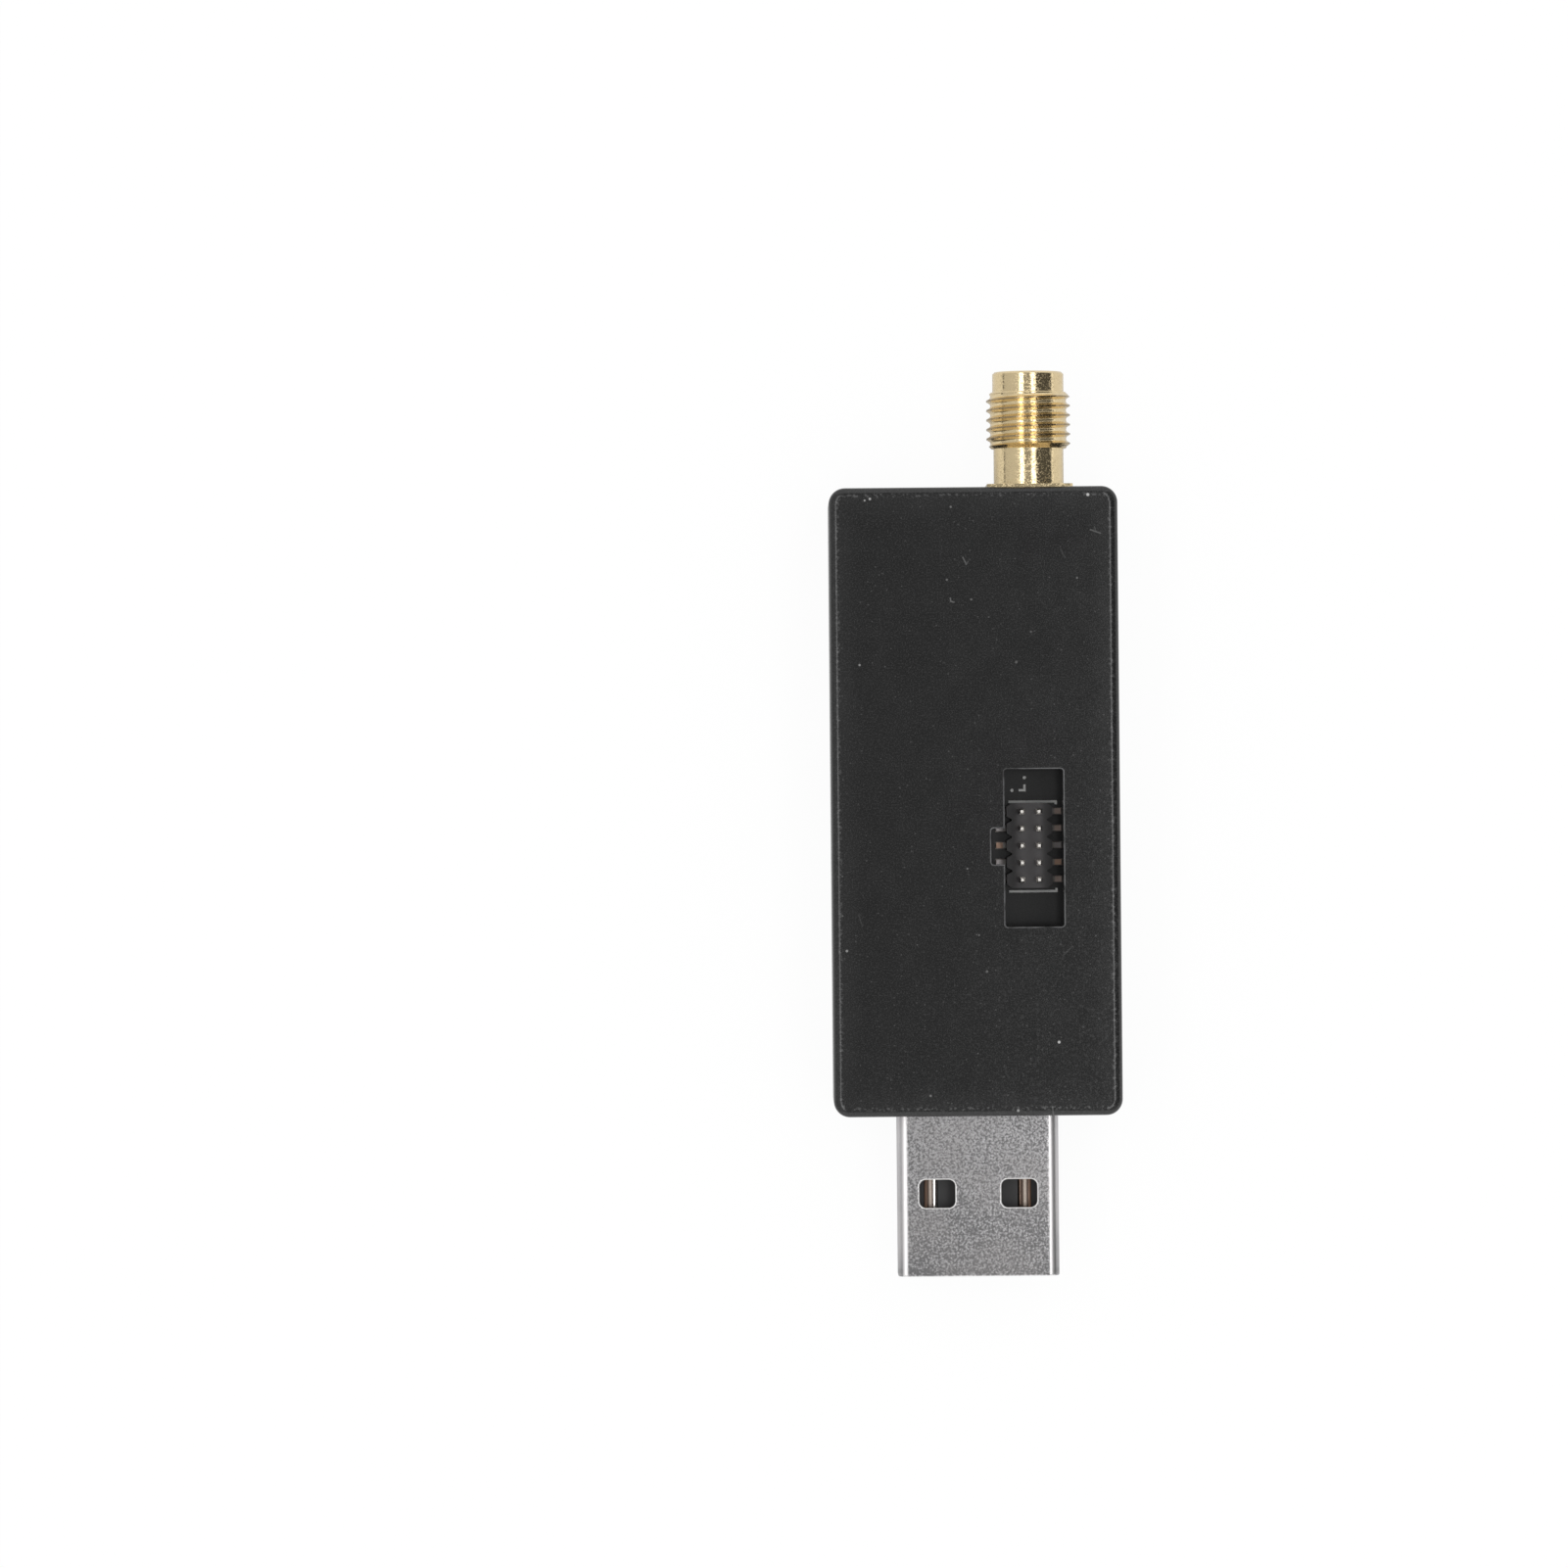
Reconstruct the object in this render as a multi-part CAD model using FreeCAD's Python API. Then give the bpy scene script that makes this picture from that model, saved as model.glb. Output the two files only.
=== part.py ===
"""A short USB radio stick: a two-part moulded case with a folded USB plug at one end, a threaded
antenna jack at the other, and a circuit board that carries both and a small debug header, which
stands under a window in the roof.

Millimetres. +Y runs from the plug to the jack, +Z is up, and the stick lies on its floor with the
origin under the middle of its overall length.
"""
import FreeCAD, Part
import math
import os

Vector = FreeCAD.Vector

# Case: two moulded shells that meet at a lapped seam
case_length = 46.6
case_width = 21.4
corner_radius = 1.2
edge_radius = 0.65
side_wall = 1.4
floor_thickness = 1.3
roof_thickness = 1.2
inner_corner_radius = 0.5
seam_bevel = 0.12
lip_height = 0.8
lip_thickness = 0.6
lip_side_gap = 0.08
lip_top_gap = 0.1

# Posts under the roof that press the board onto bosses on the floor
post_radius = 1.4
post_wall_gap = 0.15
post_neighbour_gap = 0.5
post_pin_radius = 0.65
post_pin_hole_gap = 0.1
post_pin_fit = 0.02
boss_height = 1.0
boss_hole_depth = 1.5
post_pin_end_gap = 0.2

# Circuit board
board_thickness = 1.0
board_wall_gap = 0.2
board_corner_radius = 0.8
board_slot_radius = 0.25
tail_stickout = 0.6
tail_hole_gap = 0.15

# USB plug: a folded shell round a moulded insulator with four contacts
plug_width = 12.0
plug_height = 4.5
plug_sheet = 0.3
plug_bend_radius = 0.7
plug_reach = 12.0
plug_length = 18.75
plug_opening_gap = 0.1
plug_mouth_round = 0.12
plug_window_width = 2.67
plug_window_length = 2.1
plug_window_radius = 0.5
plug_window_spacing = 6.1
plug_window_setback = 5.1
plug_window_round = 0.1
seam_gap = 0.08
dovetail_neck = 1.4
dovetail_flare = 0.4
dovetail_depth = 1.2
dovetail_setbacks = (3.2, 10.4)
plug_tab_width = 1.5
plug_tab_setback = 3.0
insulator_fit = 0.03
tongue_thickness = 1.95
tongue_recess = 0.5
tongue_nose_bevel = 0.3
cavity_depth = 9.6
contact_width = 1.0
contact_thickness = 0.25
contact_edge_round = 0.2
contact_proud = 0.08
contact_slot_fit = 0.02
contact_outer_setback = 1.5
contact_inner_setback = 2.5
contact_tail_width = 0.6
contact_tail_setback = 1.2
contact_bend_radius = 0.3
contact_places = {
    "usb_contact_supply": -3.5,
    "usb_contact_data_minus": -1.0,
    "usb_contact_data_plus": 1.0,
    "usb_contact_ground": 3.5,
}
outer_contact_limit = 2.0

# Antenna jack: a square block on the board, and a barrel that sticks out of the case
jack_block_side = 6.35
jack_block_proud = 0.25
jack_block_bevel = 0.2
jack_side_margin = 1.865
jack_opening_gap = 0.1
jack_headroom = 0.15
jack_shank_radius = 2.6
jack_shank_length = 2.7
jack_thread_radius = 3.125
jack_thread_length = 4.2
jack_thread_bevel = 0.35
jack_pilot_radius = 2.65
jack_pilot_length = 1.5
jack_pilot_bevel = 0.15
jack_counterbore_radius = 2.3
jack_counterbore_depth = 1.95
jack_bore_radius = 2.05
jack_insulator_fit = 0.02
jack_leg_pitch = 5.08
jack_leg_side = 1.0
jack_leg_edge = 0.635
jack_leg_margin = 0.4
jack_contact_radius = 0.635
jack_socket_radius = 0.47
jack_socket_depth = 3.0
jack_slot_width = 0.16
jack_slot_length = 1.9
jack_tail_radius = 0.45
jack_elbow_reach = 1.2

# Debug header: two rows of square pins in a notched body
header_pitch = 1.27
header_columns = 5
header_body_width = 3.4
header_body_height = 2.0
header_body_lift = 0.5
header_pin_side = 0.4
header_pin_bevel = 0.1
header_height = 5.6
header_foot_span = 4.86
header_bend_radius = 0.1
header_notch_depth = 0.4
header_notch_mouth = 0.56
header_notch_bottom = 0.1

# Window over the debug header, with a key notch in its left edge
window_width = 4.33
window_length = 11.65
window_corner_radius = 0.2
window_side_margin = 4.235
window_offset = 3.46
window_rim_round = 0.12
key_notch_depth = 1.0
key_notch_length = 2.65
key_notch_offset = 0.13
header_side_offset = 0.2
header_end_offset = 0.15

# Chips, crystals and the voltage regulator: length along X, width along Y, height
radio_chip_size = (6.0, 6.0, 0.9)
amplifier_chip_size = (4.0, 4.0, 0.9)
main_crystal_size = (3.2, 2.5, 0.75)
clock_crystal_size = (1.5, 3.2, 0.8)
regulator_size = (1.6, 2.9, 1.1)
chip_bevel = 0.08
chip_mark_radius = 0.25
chip_mark_depth = 0.05
crystal_lid_inset = 0.15
crystal_base_height = 0.35
regulator_lift = 0.1
regulator_draft = 0.12
lead_thickness = 0.15
lead_width = 0.4
lead_reach = 0.6
lead_pitch = 0.95
lead_bend_radius = 0.08
part_gap = 0.3
group_gap = 0.5

# Small ceramic parts, by case size: length, width, height
passive_sizes = {
    "0402": (1.0, 0.5, 0.4),
    "0603": (1.6, 0.8, 0.7),
    "0805": (2.0, 1.25, 0.9),
}
passive_cap_share = 0.22
passive_cap_proud = 0.02

CLEAR = 1.0  # how far a cutting shape runs past the wall that it opens

# Lengths that follow
jack_reach = jack_block_proud + jack_shank_length + jack_thread_length + jack_pilot_length
overall_length = plug_reach + case_length + jack_reach
plug_front = -overall_length / 2
plug_back = plug_front + plug_length
case_front = plug_front + plug_reach
case_back = case_front + case_length
case_middle = (case_front + case_back) / 2
inner_length = case_length - 2 * side_wall
inner_width = case_width - 2 * side_wall

# Heights that follow: the case is as tall as the stack of board and jack block needs
board_bottom = floor_thickness + boss_height
board_top = board_bottom + board_thickness
ceiling = board_top + jack_block_side + jack_headroom
case_height = ceiling + roof_thickness
seam_height = board_top + plug_height / 2
tail_end = board_bottom - tail_stickout

# Places that follow
board_width = inner_width - 2 * board_wall_gap
board_length = inner_length - 2 * board_wall_gap
board_back = case_back - side_wall - board_wall_gap
jack_x = inner_width / 2 - jack_side_margin - jack_block_side / 2
jack_z = board_top + jack_block_side / 2
jack_face = case_back + jack_block_proud
jack_thread_start = jack_face + jack_shank_length
jack_thread_end = jack_thread_start + jack_thread_length
jack_tip = jack_thread_end + jack_pilot_length
jack_reference = jack_tip - jack_counterbore_depth
jack_tail_y = board_back - jack_leg_margin - (jack_leg_side + jack_leg_pitch) / 2
jack_block_back = jack_tail_y - jack_leg_pitch / 2 - jack_leg_edge
window_x = case_width / 2 - window_side_margin - window_width / 2
window_y = case_middle - window_offset
header_x = window_x - header_side_offset
header_y = window_y + header_end_offset
header_length = header_columns * header_pitch
post_x = inner_width / 2 - post_wall_gap - post_radius
post_front_y = plug_back + post_radius + post_neighbour_gap
post_back_y = jack_block_back - post_radius - post_neighbour_gap
post_places = [(side * post_x, y) for side in (-1, 1) for y in (post_front_y, post_back_y)]
contact_tail_y = plug_back + contact_tail_setback
plug_inner_floor = board_top + plug_sheet
tongue_top = plug_inner_floor + tongue_thickness
contact_middle = tongue_top + contact_proud - contact_thickness / 2


def flat(u, v):
    """A point of an outline that lies in the board's plane."""
    return Vector(u, v, 0)


def across(u, v):
    """A point of an outline that faces along Y: u to the right, v up."""
    return Vector(u, 0, v)


def sideways(u, v):
    """A point of an outline that faces along X: u along the stick, v up."""
    return Vector(0, u, v)


def outline_face(points, radii, place):
    """A face inside a closed outline, each corner rounded by its own radius, 0 for a sharp one."""
    corners = [place(u, v) for u, v in points]
    edges = []
    starts = []
    ends = []
    middles = []
    for index, corner in enumerate(corners):
        back = (corners[index - 1] - corner).normalize()
        ahead = (corners[(index + 1) % len(corners)] - corner).normalize()
        half_angle = back.getAngle(ahead) / 2
        radius = radii[index]
        tangent = radius / math.tan(half_angle)
        starts.append(corner + back * tangent)
        ends.append(corner + ahead * tangent)
        to_centre = (back + ahead).normalize() if radius else Vector(0, 0, 0)
        middles.append(corner + to_centre * (radius / math.sin(half_angle) - radius))
    for index in range(len(corners)):
        if radii[index]:
            edges.append(Part.Arc(starts[index], middles[index], ends[index]).toShape())
        following = (index + 1) % len(corners)
        if ends[index].distanceToPoint(starts[following]) > 1e-6:
            edges.append(Part.LineSegment(ends[index], starts[following]).toShape())
    return Part.Face(Part.Wire(edges))


def rectangle(width, height, radius, place, centre=(0, 0)):
    """A face of a rectangle with rounded corners, round a centre."""
    u, v = centre
    points = [
        (u - width / 2, v - height / 2),
        (u + width / 2, v - height / 2),
        (u + width / 2, v + height / 2),
        (u - width / 2, v + height / 2),
    ]
    return outline_face(points, [radius] * 4, place)


def upright(face, bottom, top):
    """A face in the board's plane, drawn up from one height to another."""
    prism = face.extrude(Vector(0, 0, top - bottom))
    prism.translate(Vector(0, 0, bottom))
    return prism


def lengthwise(face, start, end):
    """A face across the stick, drawn along Y from one place to another."""
    prism = face.extrude(Vector(0, end - start, 0))
    prism.translate(Vector(0, start, 0))
    return prism


def block(x, y, size, bottom):
    """A box round a place on the board, standing on a height."""
    length, width, height = size
    return Part.makeBox(length, width, height, Vector(x - length / 2, y - width / 2, bottom))


def post(x, y, radius, bottom, top):
    """An upright round bar."""
    return Part.makeCylinder(radius, top - bottom, Vector(x, y, bottom))


def bar(x, z, radius, start, end):
    """A round bar along Y."""
    return Part.makeCylinder(radius, end - start, Vector(x, start, z), Vector(0, 1, 0))


def edges_at(shape, height):
    """The edges that lie flat at one height."""
    def level(edge):
        box = edge.BoundBox
        return abs(box.ZMin - height) < 1e-4 and abs(box.ZMax - height) < 1e-4
    return [edge for edge in shape.Edges if level(edge)]


def both_sides(points, thickness):
    """The two sides of a line given a thickness, with mitred corners, and the turn at each point:
    above 0 to the left, below 0 to the right."""
    line = [Vector(u, v, 0) for u, v in points]
    turned = [Vector((a - b).y, (b - a).x, 0).normalize() for a, b in zip(line, line[1:])]
    left = []
    right = []
    turns = []
    for index, point in enumerate(line):
        before = turned[max(index - 1, 0)]
        after = turned[min(index, len(turned) - 1)]
        mitre = (before + after) * (thickness / 2 / (1 + before.dot(after)))
        left.append(((point + mitre).x, (point + mitre).y))
        right.append(((point - mitre).x, (point - mitre).y))
        turns.append(before.cross(after).z)
    return left, right, turns


def bent_strip(points, thickness, inner_radius, width, place, sideway):
    """A bent strip of metal along a line: each bend is rounded inside and outside about one
    centre, and the profile is drawn to its width."""
    left, right, turns = both_sides(points, thickness)
    outer_radius = inner_radius + thickness
    left_radii = []
    right_radii = []
    for turn in turns:
        bent = abs(turn) > 1e-6
        left_radii.append((inner_radius if turn > 0 else outer_radius) if bent else 0)
        right_radii.append((outer_radius if turn > 0 else inner_radius) if bent else 0)
    profile = outline_face(right + left[::-1], right_radii + left_radii[::-1], place)
    strip = profile.extrude(sideway * width)
    strip.translate(sideway * (-width / 2))
    return strip


def one_solid(shape):
    """The shape as a single clean solid."""
    clean = shape.removeSplitter()
    if len(clean.Solids) != 1:
        raise ValueError("a piece fell into %d solids" % len(clean.Solids))
    return clean.Solids[0]


def case_outline():
    """The outline of the case."""
    return rectangle(case_width, case_length, corner_radius, flat, (0, case_middle))


def inner_outline(grow=0.0):
    """The outline of the space between the walls, moved outwards by grow."""
    width = inner_width + 2 * grow
    length = inner_length + 2 * grow
    return rectangle(width, length, inner_corner_radius + grow, flat, (0, case_middle))


def plug_opening():
    """The hole that the plug leaves the case by."""
    width = plug_width + 2 * plug_opening_gap
    height = plug_height + 2 * plug_opening_gap
    radius = plug_bend_radius + plug_opening_gap
    middle = (0, board_top + plug_height / 2)
    hole = rectangle(width, height, radius, across, middle)
    return lengthwise(hole, case_front - CLEAR, case_front + side_wall + board_wall_gap)


def jack_opening():
    """The hole that the jack's block leaves the case by."""
    side = jack_block_side + 2 * jack_opening_gap
    hole = rectangle(side, side, jack_block_bevel, across, (jack_x, jack_z))
    return lengthwise(hole, case_back - side_wall - board_wall_gap, case_back + CLEAR)


def header_window():
    """The window in the roof: a slot over the header with a key notch in its left edge."""
    left = window_x - window_width / 2
    right = window_x + window_width / 2
    near = window_y - window_length / 2
    far = window_y + window_length / 2
    notch_near = window_y + key_notch_offset - key_notch_length / 2
    notch_far = window_y + key_notch_offset + key_notch_length / 2
    points = [
        (left, near),
        (right, near),
        (right, far),
        (left, far),
        (left, notch_far),
        (left - key_notch_depth, notch_far),
        (left - key_notch_depth, notch_near),
        (left, notch_near),
    ]
    radii = [window_corner_radius] * 4 + [0, window_corner_radius, window_corner_radius, 0]
    return upright(outline_face(points, radii, flat), ceiling - CLEAR, case_height + CLEAR)


def bottom_shell():
    """The tray: floor, walls, lap lip, and bosses that carry the board."""
    shell = upright(case_outline(), 0, seam_height)
    shell = shell.makeFillet(edge_radius, edges_at(shell, 0))
    shell = shell.makeChamfer(seam_bevel, edges_at(shell, seam_height))
    lip = upright(inner_outline(lip_thickness), floor_thickness, seam_height + lip_height)
    shell = shell.fuse(lip).cut(upright(inner_outline(), floor_thickness, seam_height + lip_height))
    for x, y in post_places:
        shell = shell.fuse(post(x, y, post_radius, floor_thickness / 2, board_bottom))
    for x, y in post_places:
        hole = post(x, y, post_pin_radius + post_pin_fit, board_bottom - boss_hole_depth, board_bottom)
        shell = shell.cut(hole)
    return one_solid(shell.cut(plug_opening()).cut(jack_opening()))


def top_shell():
    """The cover: roof with the window, walls with the rebate for the lip, and the posts."""
    shell = upright(case_outline(), seam_height, case_height)
    shell = shell.makeFillet(edge_radius, edges_at(shell, case_height))
    shell = shell.makeChamfer(seam_bevel, edges_at(shell, seam_height))
    rebate = inner_outline(lip_thickness + lip_side_gap)
    shell = shell.cut(upright(rebate, seam_height, seam_height + lip_height + lip_top_gap))
    shell = shell.cut(upright(inner_outline(), seam_height, ceiling))
    shell = shell.cut(plug_opening()).cut(jack_opening())
    for x, y in post_places:
        pin_end = board_bottom - boss_hole_depth + post_pin_end_gap
        shell = shell.fuse(post(x, y, post_radius, board_top, ceiling + roof_thickness / 2))
        shell = shell.fuse(post(x, y, post_pin_radius, pin_end, board_top + CLEAR))
    shell = one_solid(shell.cut(header_window()))
    inside = case_width / 2 - edge_radius - CLEAR
    rim = [edge for edge in edges_at(shell, case_height) if abs(edge.CenterOfMass.x) < inside
           and abs(edge.CenterOfMass.y - case_middle) < case_length / 2 - edge_radius - CLEAR]
    return one_solid(shell.makeFillet(window_rim_round, rim))


def circuit_board():
    """The board, with holes for the posts' pins, the plug's tabs and every soldered tail."""
    outline = rectangle(board_width, board_length, board_corner_radius, flat, (0, case_middle))
    board = upright(outline, board_bottom, board_top)
    holes = [(x, y, post_pin_radius + post_pin_hole_gap) for x, y in post_places]
    tail_radius = math.hypot(contact_tail_width, contact_thickness) / 2 + tail_hole_gap
    holes += [(x, contact_tail_y, tail_radius) for x in contact_places.values()]
    leg_radius = jack_leg_side / math.sqrt(2) + tail_hole_gap
    holes += [(x, y, leg_radius) for x, y in jack_leg_places()]
    holes.append((jack_x, jack_tail_y, jack_tail_radius + tail_hole_gap))
    for x, y, radius in holes:
        board = board.cut(post(x, y, radius, board_bottom - CLEAR, board_top + CLEAR))
    slot_width = plug_sheet + 2 * tail_hole_gap
    slot_length = plug_tab_width + 2 * tail_hole_gap
    for side in (-1, 1):
        middle = (side * (plug_width - plug_sheet) / 2, plug_back - plug_tab_setback)
        slot = rectangle(slot_width, slot_length, board_slot_radius, flat, middle)
        board = board.cut(upright(slot, board_bottom - CLEAR, board_top + CLEAR))
    return one_solid(board)


def plug_seam():
    """The slit where the folded shell's edges meet, with dovetails that lock them."""
    path = [(0, plug_front - CLEAR)]
    for setback in dovetail_setbacks:
        near = plug_front + setback - dovetail_neck / 2
        far = plug_front + setback + dovetail_neck / 2
        path += [
            (0, near),
            (dovetail_depth, near - dovetail_flare),
            (dovetail_depth, far + dovetail_flare),
            (0, far),
        ]
    path.append((0, plug_back + CLEAR))
    left, right, turns = both_sides(path, seam_gap)
    points = right + left[::-1]
    slit = outline_face(points, [0] * len(points), flat)
    return upright(slit, board_top - CLEAR, board_top + plug_sheet + insulator_fit)


def plug_window_rims(shell):
    """The outer rims of the plug's four windows."""
    faces = edges_at(shell, board_top) + edges_at(shell, board_top + plug_height)
    near = plug_front + plug_window_setback - CLEAR
    far = plug_front + plug_window_setback + plug_window_length + CLEAR
    return [edge for edge in faces if edge.BoundBox.YMin > near and edge.BoundBox.YMax < far]


def usb_plug_shell():
    """The plug's shell, folded from one sheet, with four windows and two soldered tabs."""
    middle = (0, board_top + plug_height / 2)
    outer = rectangle(plug_width, plug_height, plug_bend_radius, across, middle)
    inner = rectangle(plug_width - 2 * plug_sheet, plug_height - 2 * plug_sheet,
                      plug_bend_radius - plug_sheet, across, middle)
    solid = lengthwise(outer, plug_front, plug_back)
    mouth = [edge for edge in solid.Edges if abs(edge.BoundBox.YMax - plug_front) < 1e-4]
    solid = solid.makeFillet(plug_mouth_round, mouth)
    shell = solid.cut(lengthwise(inner, plug_front - CLEAR, plug_back + CLEAR))
    for side in (-1, 1):
        place = (side * plug_window_spacing / 2,
                 plug_front + plug_window_setback + plug_window_length / 2)
        window = rectangle(plug_window_width, plug_window_length, plug_window_radius, flat, place)
        shell = shell.cut(upright(window, board_top - CLEAR, board_top + plug_height + CLEAR))
    shell = shell.makeFillet(plug_window_round, plug_window_rims(shell))
    for side in (-1, 1):
        tab_height = board_top + plug_height / 2 - tail_end
        shell = shell.fuse(block(side * (plug_width - plug_sheet) / 2, plug_back - plug_tab_setback,
                                 (plug_sheet, plug_tab_width, tab_height), tail_end))
    return one_solid(shell.cut(plug_seam()))


def usb_plug_insulator():
    """The moulded insulator: a tongue in the shell's lower half and a block behind the cavity."""
    width = plug_width - 2 * plug_sheet - 2 * insulator_fit
    radius = plug_bend_radius - plug_sheet
    block_height = plug_height - 2 * plug_sheet - insulator_fit
    full = rectangle(width, block_height, radius, across, (0, plug_inner_floor + block_height / 2))
    body = lengthwise(full, plug_front + tongue_recess, plug_back)
    cavity = Part.makeBox(plug_width, cavity_depth + CLEAR, plug_height,
                          Vector(-plug_width / 2, plug_front - CLEAR, tongue_top))
    body = body.cut(cavity)
    nose = [edge for edge in edges_at(body, tongue_top)
            if abs(edge.BoundBox.YMax - plug_front - tongue_recess) < 1e-4]
    body = body.makeChamfer(tongue_nose_bevel, nose)
    slot_bottom = tongue_top + contact_proud - contact_thickness
    slot_height = contact_thickness + contact_slot_fit
    for name, x in contact_places.items():
        start = contact_tip(name) - contact_slot_fit
        slot_size = (contact_width + 2 * contact_slot_fit, plug_back + CLEAR - start, slot_height)
        body = body.cut(block(x, (start + plug_back + CLEAR) / 2, slot_size, slot_bottom))
    return one_solid(body)


def contact_tip(name):
    """Where a contact starts: the outer pair reaches further forward than the data pair."""
    outer = abs(contact_places[name]) > outer_contact_limit
    return plug_front + (contact_outer_setback if outer else contact_inner_setback)


def usb_contact(name):
    """A contact strip that lies on the tongue, leaves the block and bends down to its hole."""
    x = contact_places[name]
    start = contact_tip(name)
    bottom = contact_middle - contact_thickness / 2
    strip = block(x, (start + plug_back) / 2,
                  (contact_width, plug_back - start, contact_thickness), bottom)
    crown = [edge for edge in edges_at(strip, bottom + contact_thickness)
             if edge.BoundBox.YLength > contact_width]
    strip = strip.makeFillet(contact_edge_round, crown)
    path = [(plug_back - CLEAR, contact_middle), (contact_tail_y, contact_middle),
            (contact_tail_y, tail_end)]
    tail = bent_strip(path, contact_thickness, contact_bend_radius, contact_tail_width,
                      sideways, Vector(1, 0, 0))
    tail.translate(Vector(x, 0, 0))
    return one_solid(strip.fuse(tail))


def jack_leg_places():
    """The four corners of the jack's soldered legs."""
    half = jack_leg_pitch / 2
    return [(jack_x + i * half, jack_tail_y + j * half) for i in (-1, 1) for j in (-1, 1)]


def antenna_jack_body():
    """The jack's body: square block, four legs and a turned barrel with its bores."""
    section = rectangle(jack_block_side, jack_block_side, 0, across, (jack_x, jack_z))
    body = lengthwise(section, jack_block_back, jack_face)
    long_edges = [edge for edge in body.Edges if edge.BoundBox.YLength > jack_block_side / 2
                  and edge.BoundBox.ZMax > jack_z]
    body = body.makeChamfer(jack_block_bevel, long_edges)
    bevel = jack_thread_bevel
    profile = [
        (0, jack_face - CLEAR),
        (jack_shank_radius, jack_face - CLEAR),
        (jack_shank_radius, jack_thread_start),
        (jack_thread_radius - bevel, jack_thread_start),
        (jack_thread_radius, jack_thread_start + bevel),
        (jack_thread_radius, jack_thread_end - bevel),
        (jack_thread_radius - bevel, jack_thread_end),
        (jack_pilot_radius, jack_thread_end),
        (jack_pilot_radius, jack_tip - jack_pilot_bevel),
        (jack_pilot_radius - jack_pilot_bevel, jack_tip),
        (0, jack_tip),
    ]
    turned = Part.Face(Part.makePolygon([Vector(r, y, 0) for r, y in profile + profile[:1]]))
    barrel = turned.revolve(Vector(0, 0, 0), Vector(0, 1, 0), 360)
    barrel.translate(Vector(jack_x, 0, jack_z))
    body = body.fuse(barrel)
    for x, y in jack_leg_places():
        body = body.fuse(block(x, y, (jack_leg_side, jack_leg_side, board_top + CLEAR - tail_end), tail_end))
    body = body.cut(bar(jack_x, jack_z, jack_counterbore_radius, jack_reference, jack_tip + CLEAR))
    body = body.cut(bar(jack_x, jack_z, jack_bore_radius, jack_tail_y - jack_elbow_reach, jack_tip))
    return one_solid(body.cut(post(jack_x, jack_tail_y, jack_bore_radius, board_top - CLEAR, jack_z)))


def jack_contact_blank():
    """The jack's centre contact before its socket is bored: a bar that turns down to the board."""
    front = bar(jack_x, jack_z, jack_contact_radius, jack_tail_y - jack_contact_radius, jack_reference)
    tail = post(jack_x, jack_tail_y, jack_tail_radius, tail_end, jack_z)
    return front.fuse(tail)


def antenna_jack_insulator():
    """The jack's insulator, a sleeve round the whole centre contact."""
    radius = jack_bore_radius - jack_insulator_fit
    sleeve = bar(jack_x, jack_z, radius, jack_tail_y - jack_elbow_reach, jack_reference)
    sleeve = sleeve.fuse(post(jack_x, jack_tail_y, radius, board_top, jack_z))
    return one_solid(sleeve.cut(jack_contact_blank()))


def antenna_jack_contact():
    """The centre contact, bored for the mate's pin and slotted into four spring fingers."""
    contact = jack_contact_blank()
    socket = bar(jack_x, jack_z, jack_socket_radius, jack_reference - jack_socket_depth,
                 jack_reference + CLEAR)
    contact = contact.cut(socket)
    slot_length = jack_slot_length + CLEAR
    slot_middle = jack_reference - jack_slot_length + slot_length / 2
    wide = 2 * jack_contact_radius + CLEAR
    for width, height in ((wide, jack_slot_width), (jack_slot_width, wide)):
        slot = block(jack_x, slot_middle, (width, slot_length, height), jack_z - height / 2)
        contact = contact.cut(slot)
    return one_solid(contact)


def header_pin_places():
    """Each header pin's column middle and the side of the body that it stands on, -1 or 1."""
    first = header_y + (header_columns - 1) * header_pitch / 2
    return [(side, first - column * header_pitch) for column in range(header_columns)
            for side in (-1, 1)]


def debug_header_body():
    """The header's moulded body, notched on both sides between its pins."""
    half = header_body_width / 2
    mouth = header_notch_mouth / 2
    bottom = header_notch_bottom / 2
    right = [(half - header_notch_depth, -header_length / 2), (half, -header_length / 2 + mouth)]
    for column in range(1, header_columns):
        y = -header_length / 2 + column * header_pitch
        right += [(half, y - mouth), (half - header_notch_depth, y - bottom),
                  (half - header_notch_depth, y + bottom), (half, y + mouth)]
    right += [(half, header_length / 2 - mouth), (half - header_notch_depth, header_length / 2)]
    left = [(-u, v) for u, v in reversed(right)]
    points = [(header_x + u, header_y + v) for u, v in right + left]
    floor = board_top + header_body_lift
    body = upright(outline_face(points, [0] * len(points), flat), floor, floor + header_body_height)
    for side, y in header_pin_places():
        hole_size = (header_pin_side, header_pin_side, header_height)
        body = body.cut(block(header_x + side * header_pitch / 2, y, hole_size, board_top))
    return one_solid(body)


def debug_header_pin(side, y):
    """A square pin that stands in the body and turns outwards to a foot on the board."""
    foot_middle = board_top + header_pin_side / 2
    top = board_top + header_height
    x = header_x + side * header_pitch / 2
    path = [(x, top), (x, foot_middle), (header_x + side * header_foot_span / 2, foot_middle)]
    pin = bent_strip(path, header_pin_side, header_bend_radius, header_pin_side,
                     across, Vector(0, 1, 0))
    pin.translate(Vector(0, y, 0))
    return one_solid(pin.makeChamfer(header_pin_bevel, edges_at(pin, top)))


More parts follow.
